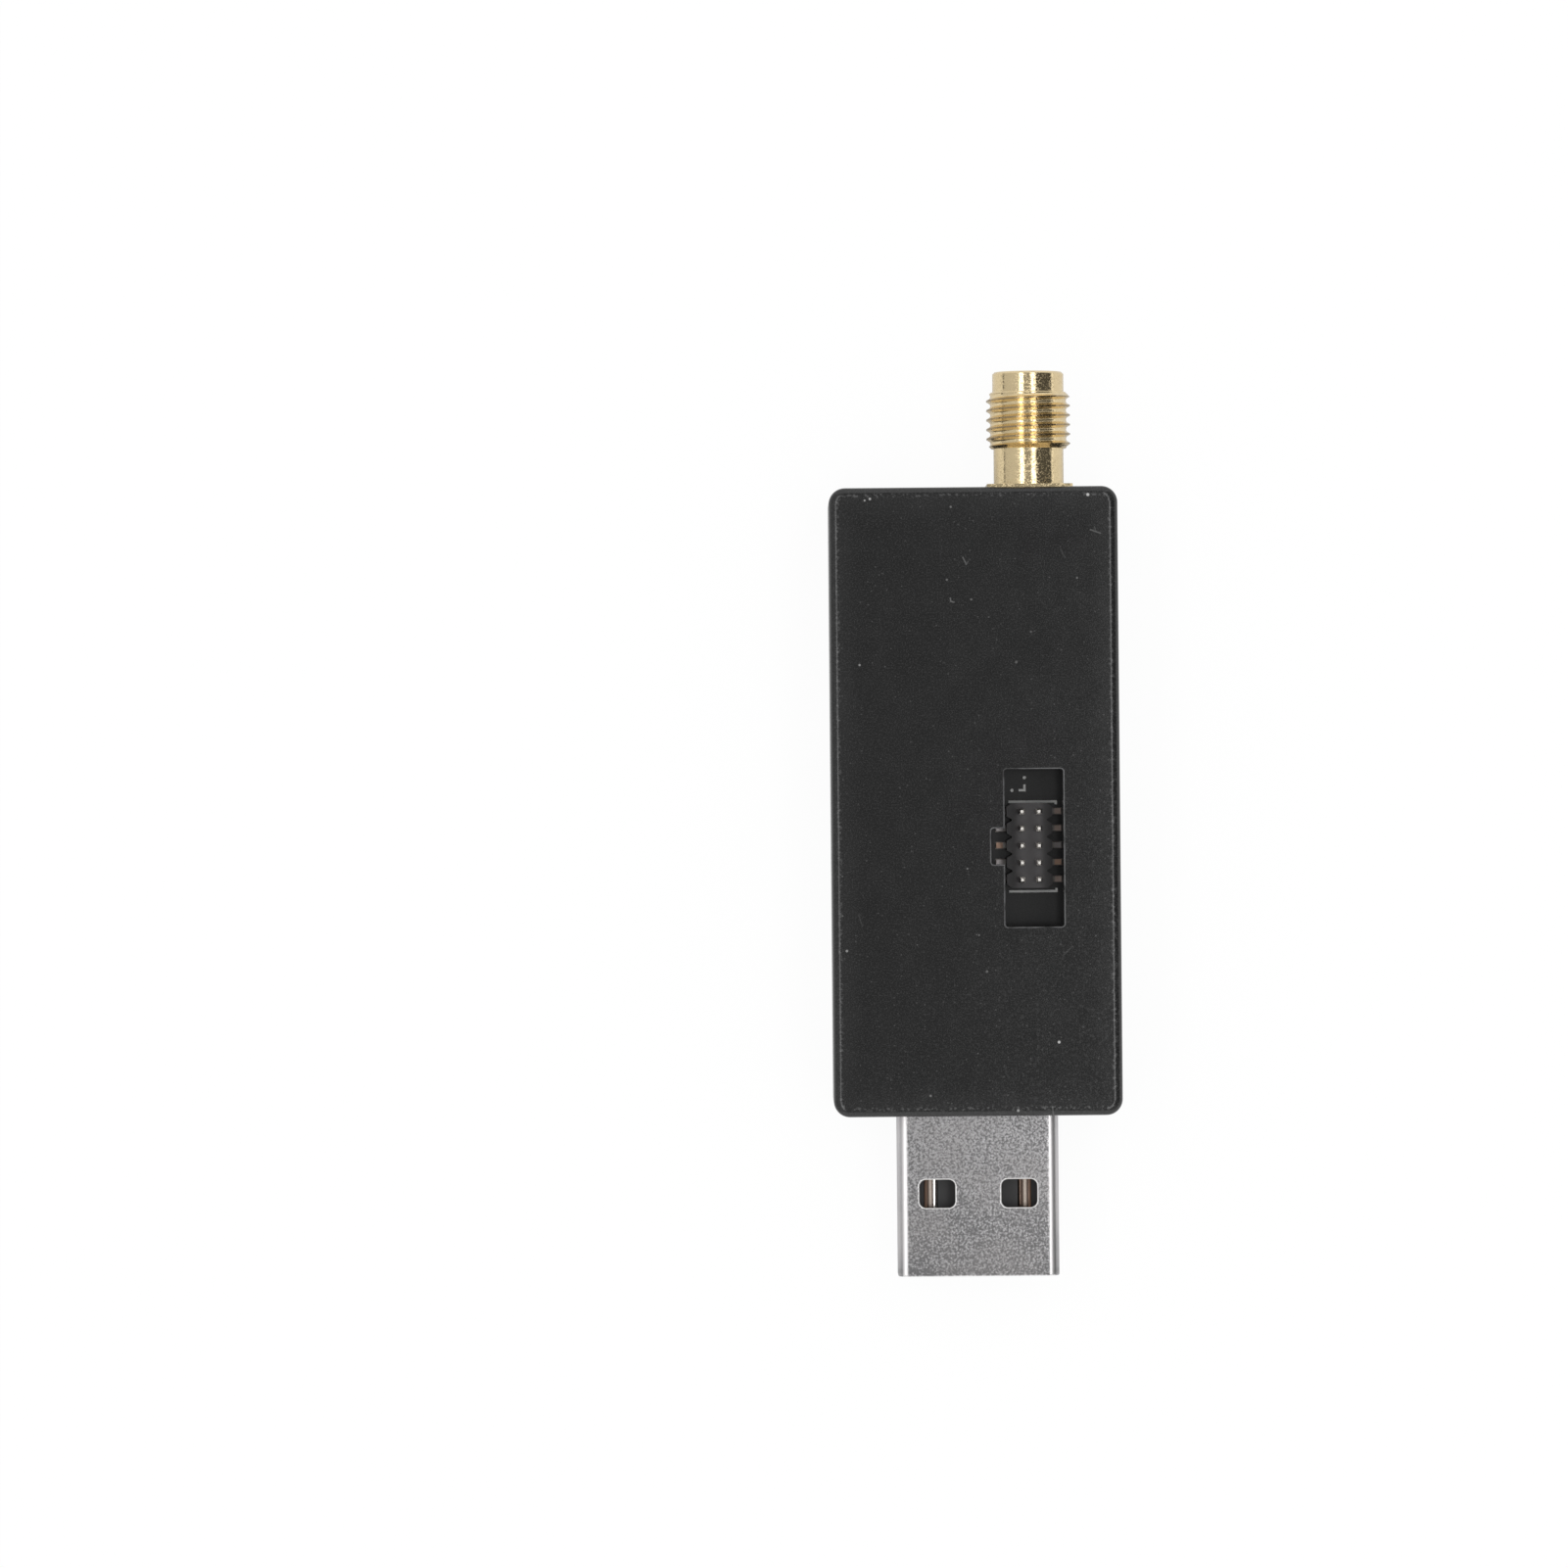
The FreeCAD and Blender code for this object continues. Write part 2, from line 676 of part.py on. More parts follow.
def chip(x, y, size):
    """A moulded chip with a bevelled top edge and a shallow round mark at its first corner."""
    length, width, height = size
    body = block(x, y, size, board_top)
    body = body.makeChamfer(chip_bevel, edges_at(body, board_top + height))
    mark_x = x - length / 2 + 2 * chip_mark_radius + chip_bevel
    mark_y = y + width / 2 - 2 * chip_mark_radius - chip_bevel
    top = board_top + height
    return one_solid(body.cut(post(mark_x, mark_y, chip_mark_radius, top - chip_mark_depth, top)))


def crystal(x, y, size):
    """A crystal: a ceramic base with a smaller metal lid welded on."""
    length, width, height = size
    base = block(x, y, (length, width, crystal_base_height), board_top)
    lid_size = (length - 2 * crystal_lid_inset, width - 2 * crystal_lid_inset, height)
    lid = block(x, y, lid_size, board_top)
    lid = lid.makeFillet(crystal_lid_inset, edges_at(lid, board_top + height))
    return one_solid(base.fuse(lid))


def voltage_regulator(x, y):
    """A five-lead regulator: tapered moulded body with bent leads, three and two."""
    length, width, height = regulator_size
    bottom = board_top + regulator_lift
    lower = rectangle(length, width, 0, flat).OuterWire
    upper = rectangle(length - 2 * regulator_draft, width - 2 * regulator_draft, 0, flat).OuterWire
    lower.translate(Vector(x, y, bottom))
    upper.translate(Vector(x, y, board_top + height))
    body = Part.makeLoft([lower, upper], True)
    shoulder = board_top + height / 2
    lead_ends = [(-1, -lead_pitch), (-1, 0), (-1, lead_pitch), (1, -lead_pitch), (1, lead_pitch)]
    for side, offset in lead_ends:
        edge = x + side * length / 2
        path = [
            (x + side * length / 4, shoulder),
            (edge + side * lead_reach / 2, shoulder),
            (edge + side * lead_reach / 2, board_top + lead_thickness / 2),
            (edge + side * lead_reach, board_top + lead_thickness / 2),
        ]
        lead = bent_strip(path, lead_thickness, lead_bend_radius, lead_width, across, Vector(0, 1, 0))
        lead.translate(Vector(0, y + offset, 0))
        body = body.fuse(lead)
    return one_solid(body)


def passive(x, y, case_size, along_y):
    """A small ceramic part whose two metal end caps stand a little proud of its body."""
    length, width, height = passive_sizes[case_size]
    proud = passive_cap_proud
    cap_length = length * passive_cap_share
    body = block(0, 0, (length - cap_length, width - 2 * proud, height - proud), board_top + proud / 2)
    for side in (-1, 1):
        cap_size = (cap_length, width, height)
        body = body.fuse(block(side * (length - cap_length) / 2, 0, cap_size, board_top))
    if along_y:
        body.rotate(Vector(0, 0, 0), Vector(0, 0, 1), 90)
    body.translate(Vector(x, y, 0))
    return one_solid(body)


def board_parts():
    """The chips and small parts, placed from the plug's tails, the header and the jack."""
    radio_x = header_x - header_foot_span / 2 - part_gap - radio_chip_size[0] / 2
    radio_back = header_y + radio_chip_size[1] / 2
    radio_front = header_y - radio_chip_size[1] / 2
    crystal_y = radio_back + group_gap + main_crystal_size[1] / 2
    crystal_x = radio_x + radio_chip_size[0] / 2 - main_crystal_size[0] / 2
    clock_x = crystal_x - main_crystal_size[0] / 2 - group_gap - clock_crystal_size[0] / 2
    clock_y = radio_back + group_gap + clock_crystal_size[1] / 2
    amplifier_x = jack_x - jack_block_side / 2
    amplifier_y = jack_block_back - 2 * part_gap - passive_sizes["0402"][0] - amplifier_chip_size[1] / 2
    match_y = jack_block_back - part_gap - passive_sizes["0402"][0] / 2
    regulator_x = -regulator_size[0] / 2 - lead_reach - group_gap
    regulator_y = contact_tail_y + group_gap + regulator_size[1] / 2
    row_y = radio_front - group_gap - passive_sizes["0402"][0] / 2
    small = passive_sizes["0402"][1] + part_gap
    load_y = crystal_y + main_crystal_size[1] / 2 + group_gap
    supply_y = regulator_y - regulator_size[1] / 2 + passive_sizes["0805"][0] / 2
    series_y = contact_tail_y + group_gap + passive_sizes["0402"][0] / 2
    parts = {
        "radio_chip": chip(radio_x, header_y, radio_chip_size),
        "amplifier_chip": chip(amplifier_x, amplifier_y, amplifier_chip_size),
        "main_crystal": crystal(crystal_x, crystal_y, main_crystal_size),
        "clock_crystal": crystal(clock_x, clock_y, clock_crystal_size),
        "voltage_regulator": voltage_regulator(regulator_x, regulator_y),
    }
    places = {
        "resistor_01": (part_gap, series_y, "0402", True),
        "resistor_02": (part_gap + small, series_y, "0402", True),
        "resistor_03": (radio_x, row_y, "0402", True),
        "resistor_04": (radio_x + small, row_y, "0402", True),
        "capacitor_01": (part_gap + 3 * small, supply_y, "0805", True),
        "capacitor_02": (part_gap + small, series_y + 2 * group_gap + part_gap, "0603", False),
        "capacitor_03": (radio_x - small, row_y, "0402", True),
        "capacitor_04": (radio_x - 2 * small, row_y, "0402", True),
        "capacitor_05": (crystal_x - small, load_y, "0402", False),
        "capacitor_06": (crystal_x + small, load_y, "0402", False),
        "capacitor_07": (jack_x, match_y, "0402", True),
        "capacitor_08": (amplifier_x - small, match_y, "0402", True),
        "inductor_01": (jack_x - small, match_y, "0402", True),
        "inductor_02": (jack_x - 2 * small, match_y, "0402", True),
    }
    for name, place in places.items():
        parts[name] = passive(*place)
    return parts


def build():
    """Every piece by name."""
    pieces = {
        "top_shell": top_shell(),
        "bottom_shell": bottom_shell(),
        "circuit_board": circuit_board(),
        "usb_plug_shell": usb_plug_shell(),
        "usb_plug_insulator": usb_plug_insulator(),
        "antenna_jack_body": antenna_jack_body(),
        "antenna_jack_insulator": antenna_jack_insulator(),
        "antenna_jack_contact": antenna_jack_contact(),
        "debug_header_body": debug_header_body(),
    }
    for name in contact_places:
        pieces[name] = usb_contact(name)
    for number, (side, y) in enumerate(header_pin_places(), start=1):
        pieces["debug_header_pin_%02d" % number] = debug_header_pin(side, y)
    pieces.update(board_parts())
    return pieces


os.makedirs("parts", exist_ok=True)
for name, shape in build().items():
    if not shape.isValid():
        raise ValueError(name + " isn't a valid solid")
    shape.exportStep("parts/" + name + ".step")
    box = shape.BoundBox
    print("%-24s %9.3f mm3  x %7.2f %7.2f  y %7.2f %7.2f  z %6.2f %6.2f" % (
        name, shape.Volume, box.XMin, box.XMax, box.YMin, box.YMax, box.ZMin, box.ZMax))
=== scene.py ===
"""The looks of a short USB radio stick, built round its solids: a moulded case with a window, a
folded plug, a threaded gold jack and a debug header, on a white floor under three lamps."""
import math

import bmesh
import bpy
import numpy as np
from bpy.props import FloatProperty, FloatVectorProperty, IntProperty, PointerProperty
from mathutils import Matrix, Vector


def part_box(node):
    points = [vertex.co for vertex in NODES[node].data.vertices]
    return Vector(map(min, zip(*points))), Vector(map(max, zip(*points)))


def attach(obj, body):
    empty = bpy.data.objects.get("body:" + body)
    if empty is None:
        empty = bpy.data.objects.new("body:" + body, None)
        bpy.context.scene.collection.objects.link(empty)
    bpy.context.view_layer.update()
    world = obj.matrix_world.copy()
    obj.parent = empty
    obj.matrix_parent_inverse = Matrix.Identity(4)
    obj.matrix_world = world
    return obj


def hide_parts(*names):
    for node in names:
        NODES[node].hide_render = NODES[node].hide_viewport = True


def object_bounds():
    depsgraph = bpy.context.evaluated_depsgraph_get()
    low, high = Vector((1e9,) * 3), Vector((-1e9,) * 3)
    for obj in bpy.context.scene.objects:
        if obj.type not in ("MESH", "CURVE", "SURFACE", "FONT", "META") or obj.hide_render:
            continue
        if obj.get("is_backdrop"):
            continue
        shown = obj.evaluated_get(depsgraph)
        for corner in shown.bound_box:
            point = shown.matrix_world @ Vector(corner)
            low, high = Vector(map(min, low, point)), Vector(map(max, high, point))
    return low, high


bl_info = {
    "name": "Radio stick looks",
    "version": (1, 0, 0),
    "blender": (4, 5, 0),
    "location": "View3D > Sidebar > Radio stick",
    "description": "Dresses the solids of a USB radio stick and sets its studio",
    "category": "Object",
}

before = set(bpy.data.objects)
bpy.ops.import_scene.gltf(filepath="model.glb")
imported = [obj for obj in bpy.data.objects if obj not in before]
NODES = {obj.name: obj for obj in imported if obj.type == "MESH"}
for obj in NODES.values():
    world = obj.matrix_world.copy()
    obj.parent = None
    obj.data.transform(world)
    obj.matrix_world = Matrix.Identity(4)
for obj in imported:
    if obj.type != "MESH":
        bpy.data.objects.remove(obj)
CAD_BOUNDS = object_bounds()
MM = 0.001


def box_middle(node):
    """The middle of a solid's box."""
    low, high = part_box(node)
    return (low + high) / 2


def box_half(node):
    """Half the size of a solid's box."""
    low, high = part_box(node)
    return (high - low) / 2


# Places read from the solids
CASE_LOW, CASE_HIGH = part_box("bottom_shell")[0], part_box("top_shell")[1]
BOARD_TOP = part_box("circuit_board")[1].z
PLUG_LOW, PLUG_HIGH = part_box("usb_plug_shell")
JACK_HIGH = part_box("antenna_jack_body")[1]
BARREL_X = box_middle("antenna_jack_body").x
BARREL_Z = JACK_HIGH.z - box_half("antenna_jack_body").x
HEADER_MIDDLE = box_middle("debug_header_body")
PIN_NODES = sorted(name for name in NODES if name.startswith("debug_header_pin_"))
FOOT_REACH = max(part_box(name)[1].x for name in PIN_NODES) - HEADER_MIDDLE.x

# The header's standard pitch
PIN_PITCH = 1.27 * MM

# The radius of the case's corners, and how far inside its outline a painted highlight line,
# partly wear, runs
CASE_CORNER, HIGHLIGHT_INSET = 1.2 * MM, 0.6 * MM

# The roof's window and its key notch, and how far outside them lies the middle of the painted
# highlight on their rounded rim
WINDOW_MIDDLE, WINDOW_SIZE = (4.30 * MM, -1.785 * MM), (4.33 * MM, 11.65 * MM)
NOTCH_MIDDLE, NOTCH_SIZE = (1.885 * MM, -1.655 * MM), (1.5 * MM, 2.65 * MM)
WINDOW_RADIUS = 0.2 * MM
RIM_INSET = 0.05 * MM

# The plug's windows: their middle's distance from the plug's centre line, and their size
PLUG_WINDOW_MIDDLE = (3.05 * MM, PLUG_LOW.y + 6.15 * MM)
PLUG_WINDOW_SIZE, PLUG_WINDOW_RADIUS = (2.67 * MM, 2.1 * MM), 0.5 * MM

# The contacts' distances from the plug's centre line
INNER_CONTACT, OUTER_CONTACT = (
    box_middle(node).x for node in ("usb_contact_data_plus", "usb_contact_ground"))

# Gaps under which vertices are one: in a solid's loose triangles, and in the slivers of a cut
LOOSE_GAP, SLIVER_GAP = 0.0001 * MM, 0.0005 * MM

# Specks on the roof in millimetres, as seen from above: x, y, radius, strength
FACE_SPECKS = (
    (8.49, 24.32, 0.11, 1.0),
    (-8.03, 24.03, 0.07, 0.6),
    (-7.64, 24.14, 0.09, 0.7),
    (-1.66, 23.50, 0.08, 0.25),
    (7.64, 18.17, 0.07, 0.25),
    (4.19, 14.21, 0.08, 0.15),
    (3.09, 11.98, 0.10, 0.15),
    (-8.51, 11.86, 0.08, 0.45),
    (-0.20, 16.64, 0.08, 0.2),
    (-2.00, 18.11, 0.08, 0.2),
    (6.00, -16.17, 0.10, 1.0),
    (-9.64, -9.29, 0.09, 0.5),
    (-0.67, -3.28, 0.07, 0.25),
    (0.15, -8.21, 0.07, 0.2),
    (0.71, -10.90, 0.09, 0.2),
    (-3.54, -20.06, 0.08, 0.3),
    (2.93, -21.21, 0.10, 0.6),
)

# Nicks and scratches on the roof in millimetres: start, end, half width, strength
FACE_STROKES = (
    ((-0.80, 19.75), (-0.55, 19.25), 0.05, 0.5),
    ((-0.55, 19.25), (-0.42, 19.45), 0.04, 0.3),
    ((-1.75, 16.75), (-1.72, 16.50), 0.05, 0.6),
    ((-1.72, 16.50), (-1.50, 16.45), 0.05, 0.6),
    ((8.65, 21.72), (9.40, 21.45), 0.05, 0.45),
    ((8.95, 21.95), (9.05, 21.62), 0.04, 0.25),
    ((6.45, 20.25), (6.75, 19.70), 0.05, 0.15),
    ((6.35, -9.75), (7.05, -9.10), 0.06, 0.15),
    ((-8.75, -6.61), (-8.47, -7.48), 0.04, 0.15),
    ((5.46, -20.95), (5.54, -21.60), 0.05, 0.4),
)


class CaseLook(bpy.types.PropertyGroup):
    """Finish of the two moulded shells."""

    plastic: FloatVectorProperty(
        name="Plastic", description="Colour of the moulded plastic", subtype="COLOR",
        min=0, max=1, default=(0.0072, 0.0072, 0.0073))
    roughness: FloatProperty(
        name="Roughness", description="How dull the plastic is", subtype="FACTOR",
        min=0, max=1, default=0.17)
    grain_size: FloatProperty(
        name="Grain size", description="Size of the moulded grain", unit="LENGTH",
        default=0.11 * MM, precision=6)
    grain_depth: FloatProperty(
        name="Grain depth", description="Height of the moulded grain", unit="LENGTH",
        default=0.0055 * MM, precision=6)
    dust: FloatVectorProperty(
        name="Dust", description="Colour of dust and scuffs", subtype="COLOR",
        min=0, max=1, default=(0.62, 0.62, 0.61))
    dust_share: FloatProperty(
        name="Dust share", description="Share of the cells that hold a fleck",
        subtype="FACTOR", min=0, max=1, default=0.20)
    speck_share: FloatProperty(
        name="Speck share", description="Share of dust in a speck of strength 1",
        subtype="FACTOR", min=0, max=1, default=0.7)
    scratch_share: FloatProperty(
        name="Scratch share", description="Share of dust in a scratch of strength 1",
        subtype="FACTOR", min=0, max=1, default=0.22)
    # The worn rim's colour is a painted highlight round the window's rounded rim
    rim: FloatVectorProperty(
        name="Worn rim", description="Colour of the rubbed rim of the window", subtype="COLOR",
        min=0, max=1, default=(0.12, 0.12, 0.123))


class PlugLook(bpy.types.PropertyGroup):
    """Finish of the folded plug, its insulator and its contacts."""

    nickel: FloatVectorProperty(
        name="Nickel", description="Colour of the plated sheet", subtype="COLOR",
        min=0, max=1, default=(0.70, 0.69, 0.70))
    fleck_size: FloatProperty(
        name="Fleck size", description="Size of the plating's grain", unit="LENGTH",
        default=0.16 * MM, precision=6)
    contact: FloatVectorProperty(
        name="Contact", description="Colour of the plated contacts", subtype="COLOR",
        min=0, max=1, default=(0.96, 0.80, 0.70))
    plastic: FloatVectorProperty(
        name="Insulator", description="Colour of the insulator", subtype="COLOR",
        min=0, max=1, default=(0.028, 0.027, 0.028))


class JackLook(bpy.types.PropertyGroup):
    """Thread and finish of the antenna jack."""

    gold: FloatVectorProperty(
        name="Gold", description="Colour of the plating", subtype="COLOR",
        min=0, max=1, default=(0.90, 0.73, 0.44))
    insulator: FloatVectorProperty(
        name="Insulator", description="Colour of the sleeve inside", subtype="COLOR",
        min=0, max=1, default=(0.78, 0.77, 0.73))
    pitch: FloatProperty(
        name="Pitch", description="Pitch of the thread, 36 turns an inch", unit="LENGTH",
        default=25.4 / 36 * MM, precision=6)
    thread_length: FloatProperty(
        name="Thread length", description="Length of the threaded part", unit="LENGTH",
        default=4.2 * MM, precision=6)
    pilot_length: FloatProperty(
        name="Pilot length", description="Smooth length before the thread", unit="LENGTH",
        default=1.5 * MM, precision=6)
    thread_radius: FloatProperty(
        name="Thread radius", description="Radius of the thread's crest", unit="LENGTH",
        default=3.125 * MM, precision=6)
    thread_depth: FloatProperty(
        name="Thread depth", description="Depth of the thread's groove", unit="LENGTH",
        default=0.30 * MM, precision=6)
    start: FloatProperty(
        name="Start", description="Where a groove crosses the top of the barrel, from the "
        "thread's inner end", unit="LENGTH", default=0.552 * MM, precision=6)
    steps: IntProperty(
        name="Steps", description="Steps in one turn of the thread", min=12, default=96)


class HeaderLook(bpy.types.PropertyGroup):
    """Finish of the debug header."""

    plastic: FloatVectorProperty(
        name="Plastic", description="Colour of the header's body", subtype="COLOR",
        min=0, max=1, default=(0.077, 0.072, 0.075))
    pin: FloatVectorProperty(
        name="Pin", description="Colour of the pins", subtype="COLOR",
        min=0, max=1, default=(0.85, 0.82, 0.78))
    # The three foot colours are partly the cut metal and partly painted shade
    foot: FloatVectorProperty(
        name="Foot", description="Colour of most of the pins' cut ends", subtype="COLOR",
        min=0, max=1, default=(0.60, 0.48, 0.43))
    copper_foot: FloatVectorProperty(
        name="Copper foot", description="Colour of the cut ends that show copper",
        subtype="COLOR", min=0, max=1, default=(0.70, 0.47, 0.36))
    grey_foot: FloatVectorProperty(
        name="Grey foot", description="Colour of the cut ends that are tinned", subtype="COLOR",
        min=0, max=1, default=(0.46, 0.43, 0.43))
    pad: FloatVectorProperty(
        name="Pad", description="Colour of the pads under the feet", subtype="COLOR",
        min=0, max=1, default=(0.30, 0.27, 0.25))
    pad_height: FloatProperty(
        name="Pad height", description="Height of the pads over the board", unit="LENGTH",
        default=0.035 * MM, precision=6)


class BoardLook(bpy.types.PropertyGroup):
    """Finish of the circuit board and its print."""

    mask: FloatVectorProperty(
        name="Mask", description="Colour of the board's lacquer", subtype="COLOR",
        min=0, max=1, default=(0.040, 0.040, 0.0405))
    ink: FloatVectorProperty(
        name="Ink", description="Colour of the printed lines", subtype="COLOR",
        min=0, max=1, default=(0.98, 0.98, 0.96))
    line_width: FloatProperty(
        name="Line width", description="Width of the printed lines", unit="LENGTH",
        default=0.17 * MM, precision=6)
    ink_height: FloatProperty(
        name="Ink height", description="Thickness of the print", unit="LENGTH",
        default=0.02 * MM, precision=6)


class StudioLook(bpy.types.PropertyGroup):
    """Floor, lights and camera."""

    floor_size: FloatProperty(
        name="Floor size", description="Side of the floor", unit="LENGTH", default=4.0)
    floor_glow: FloatProperty(
        name="Floor glow", min=0, default=1.026,
        description="Brightness of the floor's glow: with its lit share it comes to plain white")
    lamp_height: FloatProperty(
        name="Lamp height", description="Height of the strip lights", unit="LENGTH", default=0.5)
    lamp_length: FloatProperty(
        name="Lamp length", description="Length of the strip lights", unit="LENGTH", default=0.7)
    lamp_radiance: FloatProperty(
        name="Lamp radiance", description="Brightness of the strips, where 1 is white",
        min=0, default=2.6)
    overhead_size: FloatProperty(
        name="Overhead size", description="Side of the square lamp overhead", unit="LENGTH",
        default=0.2)
    overhead_radiance: FloatProperty(
        name="Overhead radiance", description="Brightness of the lamp overhead, where 1 is white",
        min=0, default=2.1)
    world: FloatProperty(
        name="World", description="Brightness of the light from all round", min=0, default=0.62)
    camera_distance: FloatProperty(
        name="Camera distance", description="Height of the camera over the roof",
        unit="LENGTH", default=0.6)
    camera_x: FloatProperty(
        name="Camera across", description="The camera's place across the stick", unit="LENGTH",
        default=-14.18 * MM, precision=6)
    camera_y: FloatProperty(
        name="Camera along", description="The camera's place along the stick", unit="LENGTH",
        default=3.11 * MM, precision=6)
    camera_turn: FloatProperty(
        name="Camera turn", description="How far the picture is turned", subtype="ANGLE",
        default=math.radians(-0.52))
    view_width: FloatProperty(
        name="View width", description="Width that the picture shows at the roof",
        unit="LENGTH", default=0.116)


LOOKS = {
    "radio_stick_case": CaseLook,
    "radio_stick_plug": PlugLook,
    "radio_stick_jack": JackLook,
    "radio_stick_header": HeaderLook,
    "radio_stick_board": BoardLook,
    "radio_stick_studio": StudioLook,
}


class Socket:
    """A value on its way through a material: an expression on it adds its Math nodes."""

    def __init__(self, writer, output):
        self.writer = writer
        self.output = output

    def maths(self, operation, *values):
        return self.writer.node("ShaderNodeMath", {"operation": operation},
                                dict(enumerate(values)))

    def __add__(self, other):
        return self.maths("ADD", self, other)

    def __radd__(self, other):
        return self.maths("ADD", other, self)

    def __sub__(self, other):
        return self.maths("SUBTRACT", self, other)

    def __rsub__(self, other):
        return self.maths("SUBTRACT", other, self)

    def __mul__(self, other):
        return self.maths("MULTIPLY", self, other)

    def __rmul__(self, other):
        return self.maths("MULTIPLY", other, self)

    def __gt__(self, other):
        return self.maths("GREATER_THAN", self, other)

    def __lt__(self, other):
        return self.maths("LESS_THAN", self, other)

    def __abs__(self):
        return self.maths("ABSOLUTE", self)

    def most(self, other):
        return self.maths("MAXIMUM", self, other)

    def least(self, other):
        return self.maths("MINIMUM", self, other)

    def swing(self, height):
        """Back and forth between 0 and a height as the value rises."""
        return self.maths("PINGPONG", self, height)

    def fade(self, start, end):
        """0 at start and 1 at end, smooth between them; start may be above end."""
        return self.writer.node("ShaderNodeMapRange", {"interpolation_type": "SMOOTHSTEP"},
                                {0: self, 1: start, 2: end, 3: 0.0, 4: 1.0})


class NodeWriter:
    """Adds nodes to the tree of a material or of the world."""

    def __init__(self, tree):
        self.tree = tree

    def node(self, kind, settings=None, inputs=None, output=0):
        """Adds any node: its settings first, then the values or links of its sockets."""
        made = self.tree.nodes.new(kind)
        for name, value in (settings or {}).items():
            setattr(made, name, value)
        for name, value in (inputs or {}).items():
            self.feed(made.inputs[name], value)
        return Socket(self, made.outputs[output])

    def feed(self, socket, value):
        """Links a socket, or sets its own value."""
        if isinstance(value, Socket):
            self.tree.links.new(value.output, socket)
        else:
            socket.default_value = value

    def mix(self, factor, first, second):
        """The first colour where factor is 0, the second where it is 1."""
        return self.node("ShaderNodeMix", {"data_type": "RGBA"},
                         {0: factor, 6: colour(first), 7: colour(second)}, output=2)


class Recipe(NodeWriter):
    """One material while it is written: every method adds nodes to it."""

    def __init__(self, name):
        self.material = bpy.data.materials.new(name)
        self.material.use_nodes = True
        super().__init__(self.material.node_tree)
        self.shader = self.tree.nodes["Principled BSDF"]
        self.place = self.node("ShaderNodeTexCoord", output="Object")

    def finish(self, **values):
        """Sets the shader's sockets, named in small letters with _ for a space."""
        for name, value in values.items():
            label = name.replace("_", " ").title()
            if label.endswith("Color"):
                value = colour(value)
            self.feed(self.shader.inputs[label], value)
        return self.material

    def show(self, shader):
        """Makes a glowing shader the surface, which Cycles doesn't sample as a lamp."""
        self.feed(self.tree.nodes["Material Output"].inputs["Surface"], shader)
        self.material.cycles.emission_sampling = "NONE"
        return self.material

    def axes(self):
        """The three object coordinates."""
        split = self.node("ShaderNodeSeparateXYZ", inputs={0: self.place})
        return [Socket(self, output) for output in split.output.node.outputs]

    def stretched(self, x, y, z):
        """The object coordinates scaled along each axis, to stretch a pattern."""
        return self.node("ShaderNodeMapping", inputs={"Vector": self.place, "Scale": (x, y, z)})

    def noise(self, size, detail=2.0, vector=None):
        """Cloudy noise about 0.5, with blobs of about that size."""
        return self.node("ShaderNodeTexNoise", inputs={
            "Vector": vector or self.place, "Scale": 1 / size, "Detail": detail})

    def flecks(self, size, share, small, large):
        """Round flecks in a share of the cells of a jittered grid; radii are in cell sizes."""
        distance = self.node("ShaderNodeTexVoronoi", inputs={
            "Vector": self.place, "Scale": 1 / size})
        cell_colour = Socket(self, distance.output.node.outputs["Color"])
        chance = self.node("ShaderNodeSeparateColor", inputs={0: cell_colour})
        return ((chance + share) > 1.0) * distance.fade(large, small)

    def vector(self, operation, first, second=None, output=0):
        """A Vector Math node."""
        inputs = {0: first}
        if second is not None:
            inputs[1] = second
        return self.node("ShaderNodeVectorMath", {"operation": operation}, inputs, output)

    def bump(self, height, depth, under=None):
        """A normal bent by a height from 0 to 1 that stands for that depth."""
        inputs = {"Height": height, "Distance": depth, "Strength": 1.0}
        if under is not None:
            inputs["Normal"] = under
        return self.node("ShaderNodeBump", inputs=inputs)

    def spot(self, x, y, radius):
        """1 within a radius of a place seen from above, fading out at its rim."""
        level = self.vector("MULTIPLY", self.place, (1, 1, 0))
        distance = self.vector("DISTANCE", level, (x, y, 0), output="Value")
        return distance.fade(radius * 1.4, radius * 0.6)

    def rectangle(self, x, y, size, radius):
        """How far a place is outside a rectangle with rounded corners, less than 0 inside it."""
        across = abs(x) - (size[0] / 2 - radius)
        along = abs(y) - (size[1] / 2 - radius)
        outside = self.node("ShaderNodeCombineXYZ", inputs={
            0: across.most(0.0), 1: along.most(0.0)})
        corner = self.vector("LENGTH", outside, output="Value")
        return corner + across.most(along).least(0.0) - radius

    def stroke(self, start, end, half_width):
        """1 along a straight stroke seen from above: the distance to its nearest point."""
        start = Vector((*start, 0))
        run = Vector((*end, 0)) - start
        level = self.vector("MULTIPLY", self.place, (1, 1, 0))
        offset = self.vector("SUBTRACT", level, start)
        along = self.vector("DOT_PRODUCT", offset, run / run.length_squared, output="Value")
        along = along.most(0.0).least(1.0)
        nearest = self.node("ShaderNodeCombineXYZ", inputs={0: along * run.x, 1: along * run.y})
        distance = self.vector("DISTANCE", offset, nearest, output="Value")
        return distance.fade(half_width * 1.6, half_width * 0.5)


def colour(value):
    """A colour with its alpha, or a socket as it is."""
    return value if isinstance(value, Socket) else (*value[:3], 1.0)


def shade(value, factor):
    """A colour made darker or lighter."""
    return tuple(min(channel * factor, 1.0) for channel in value[:3])


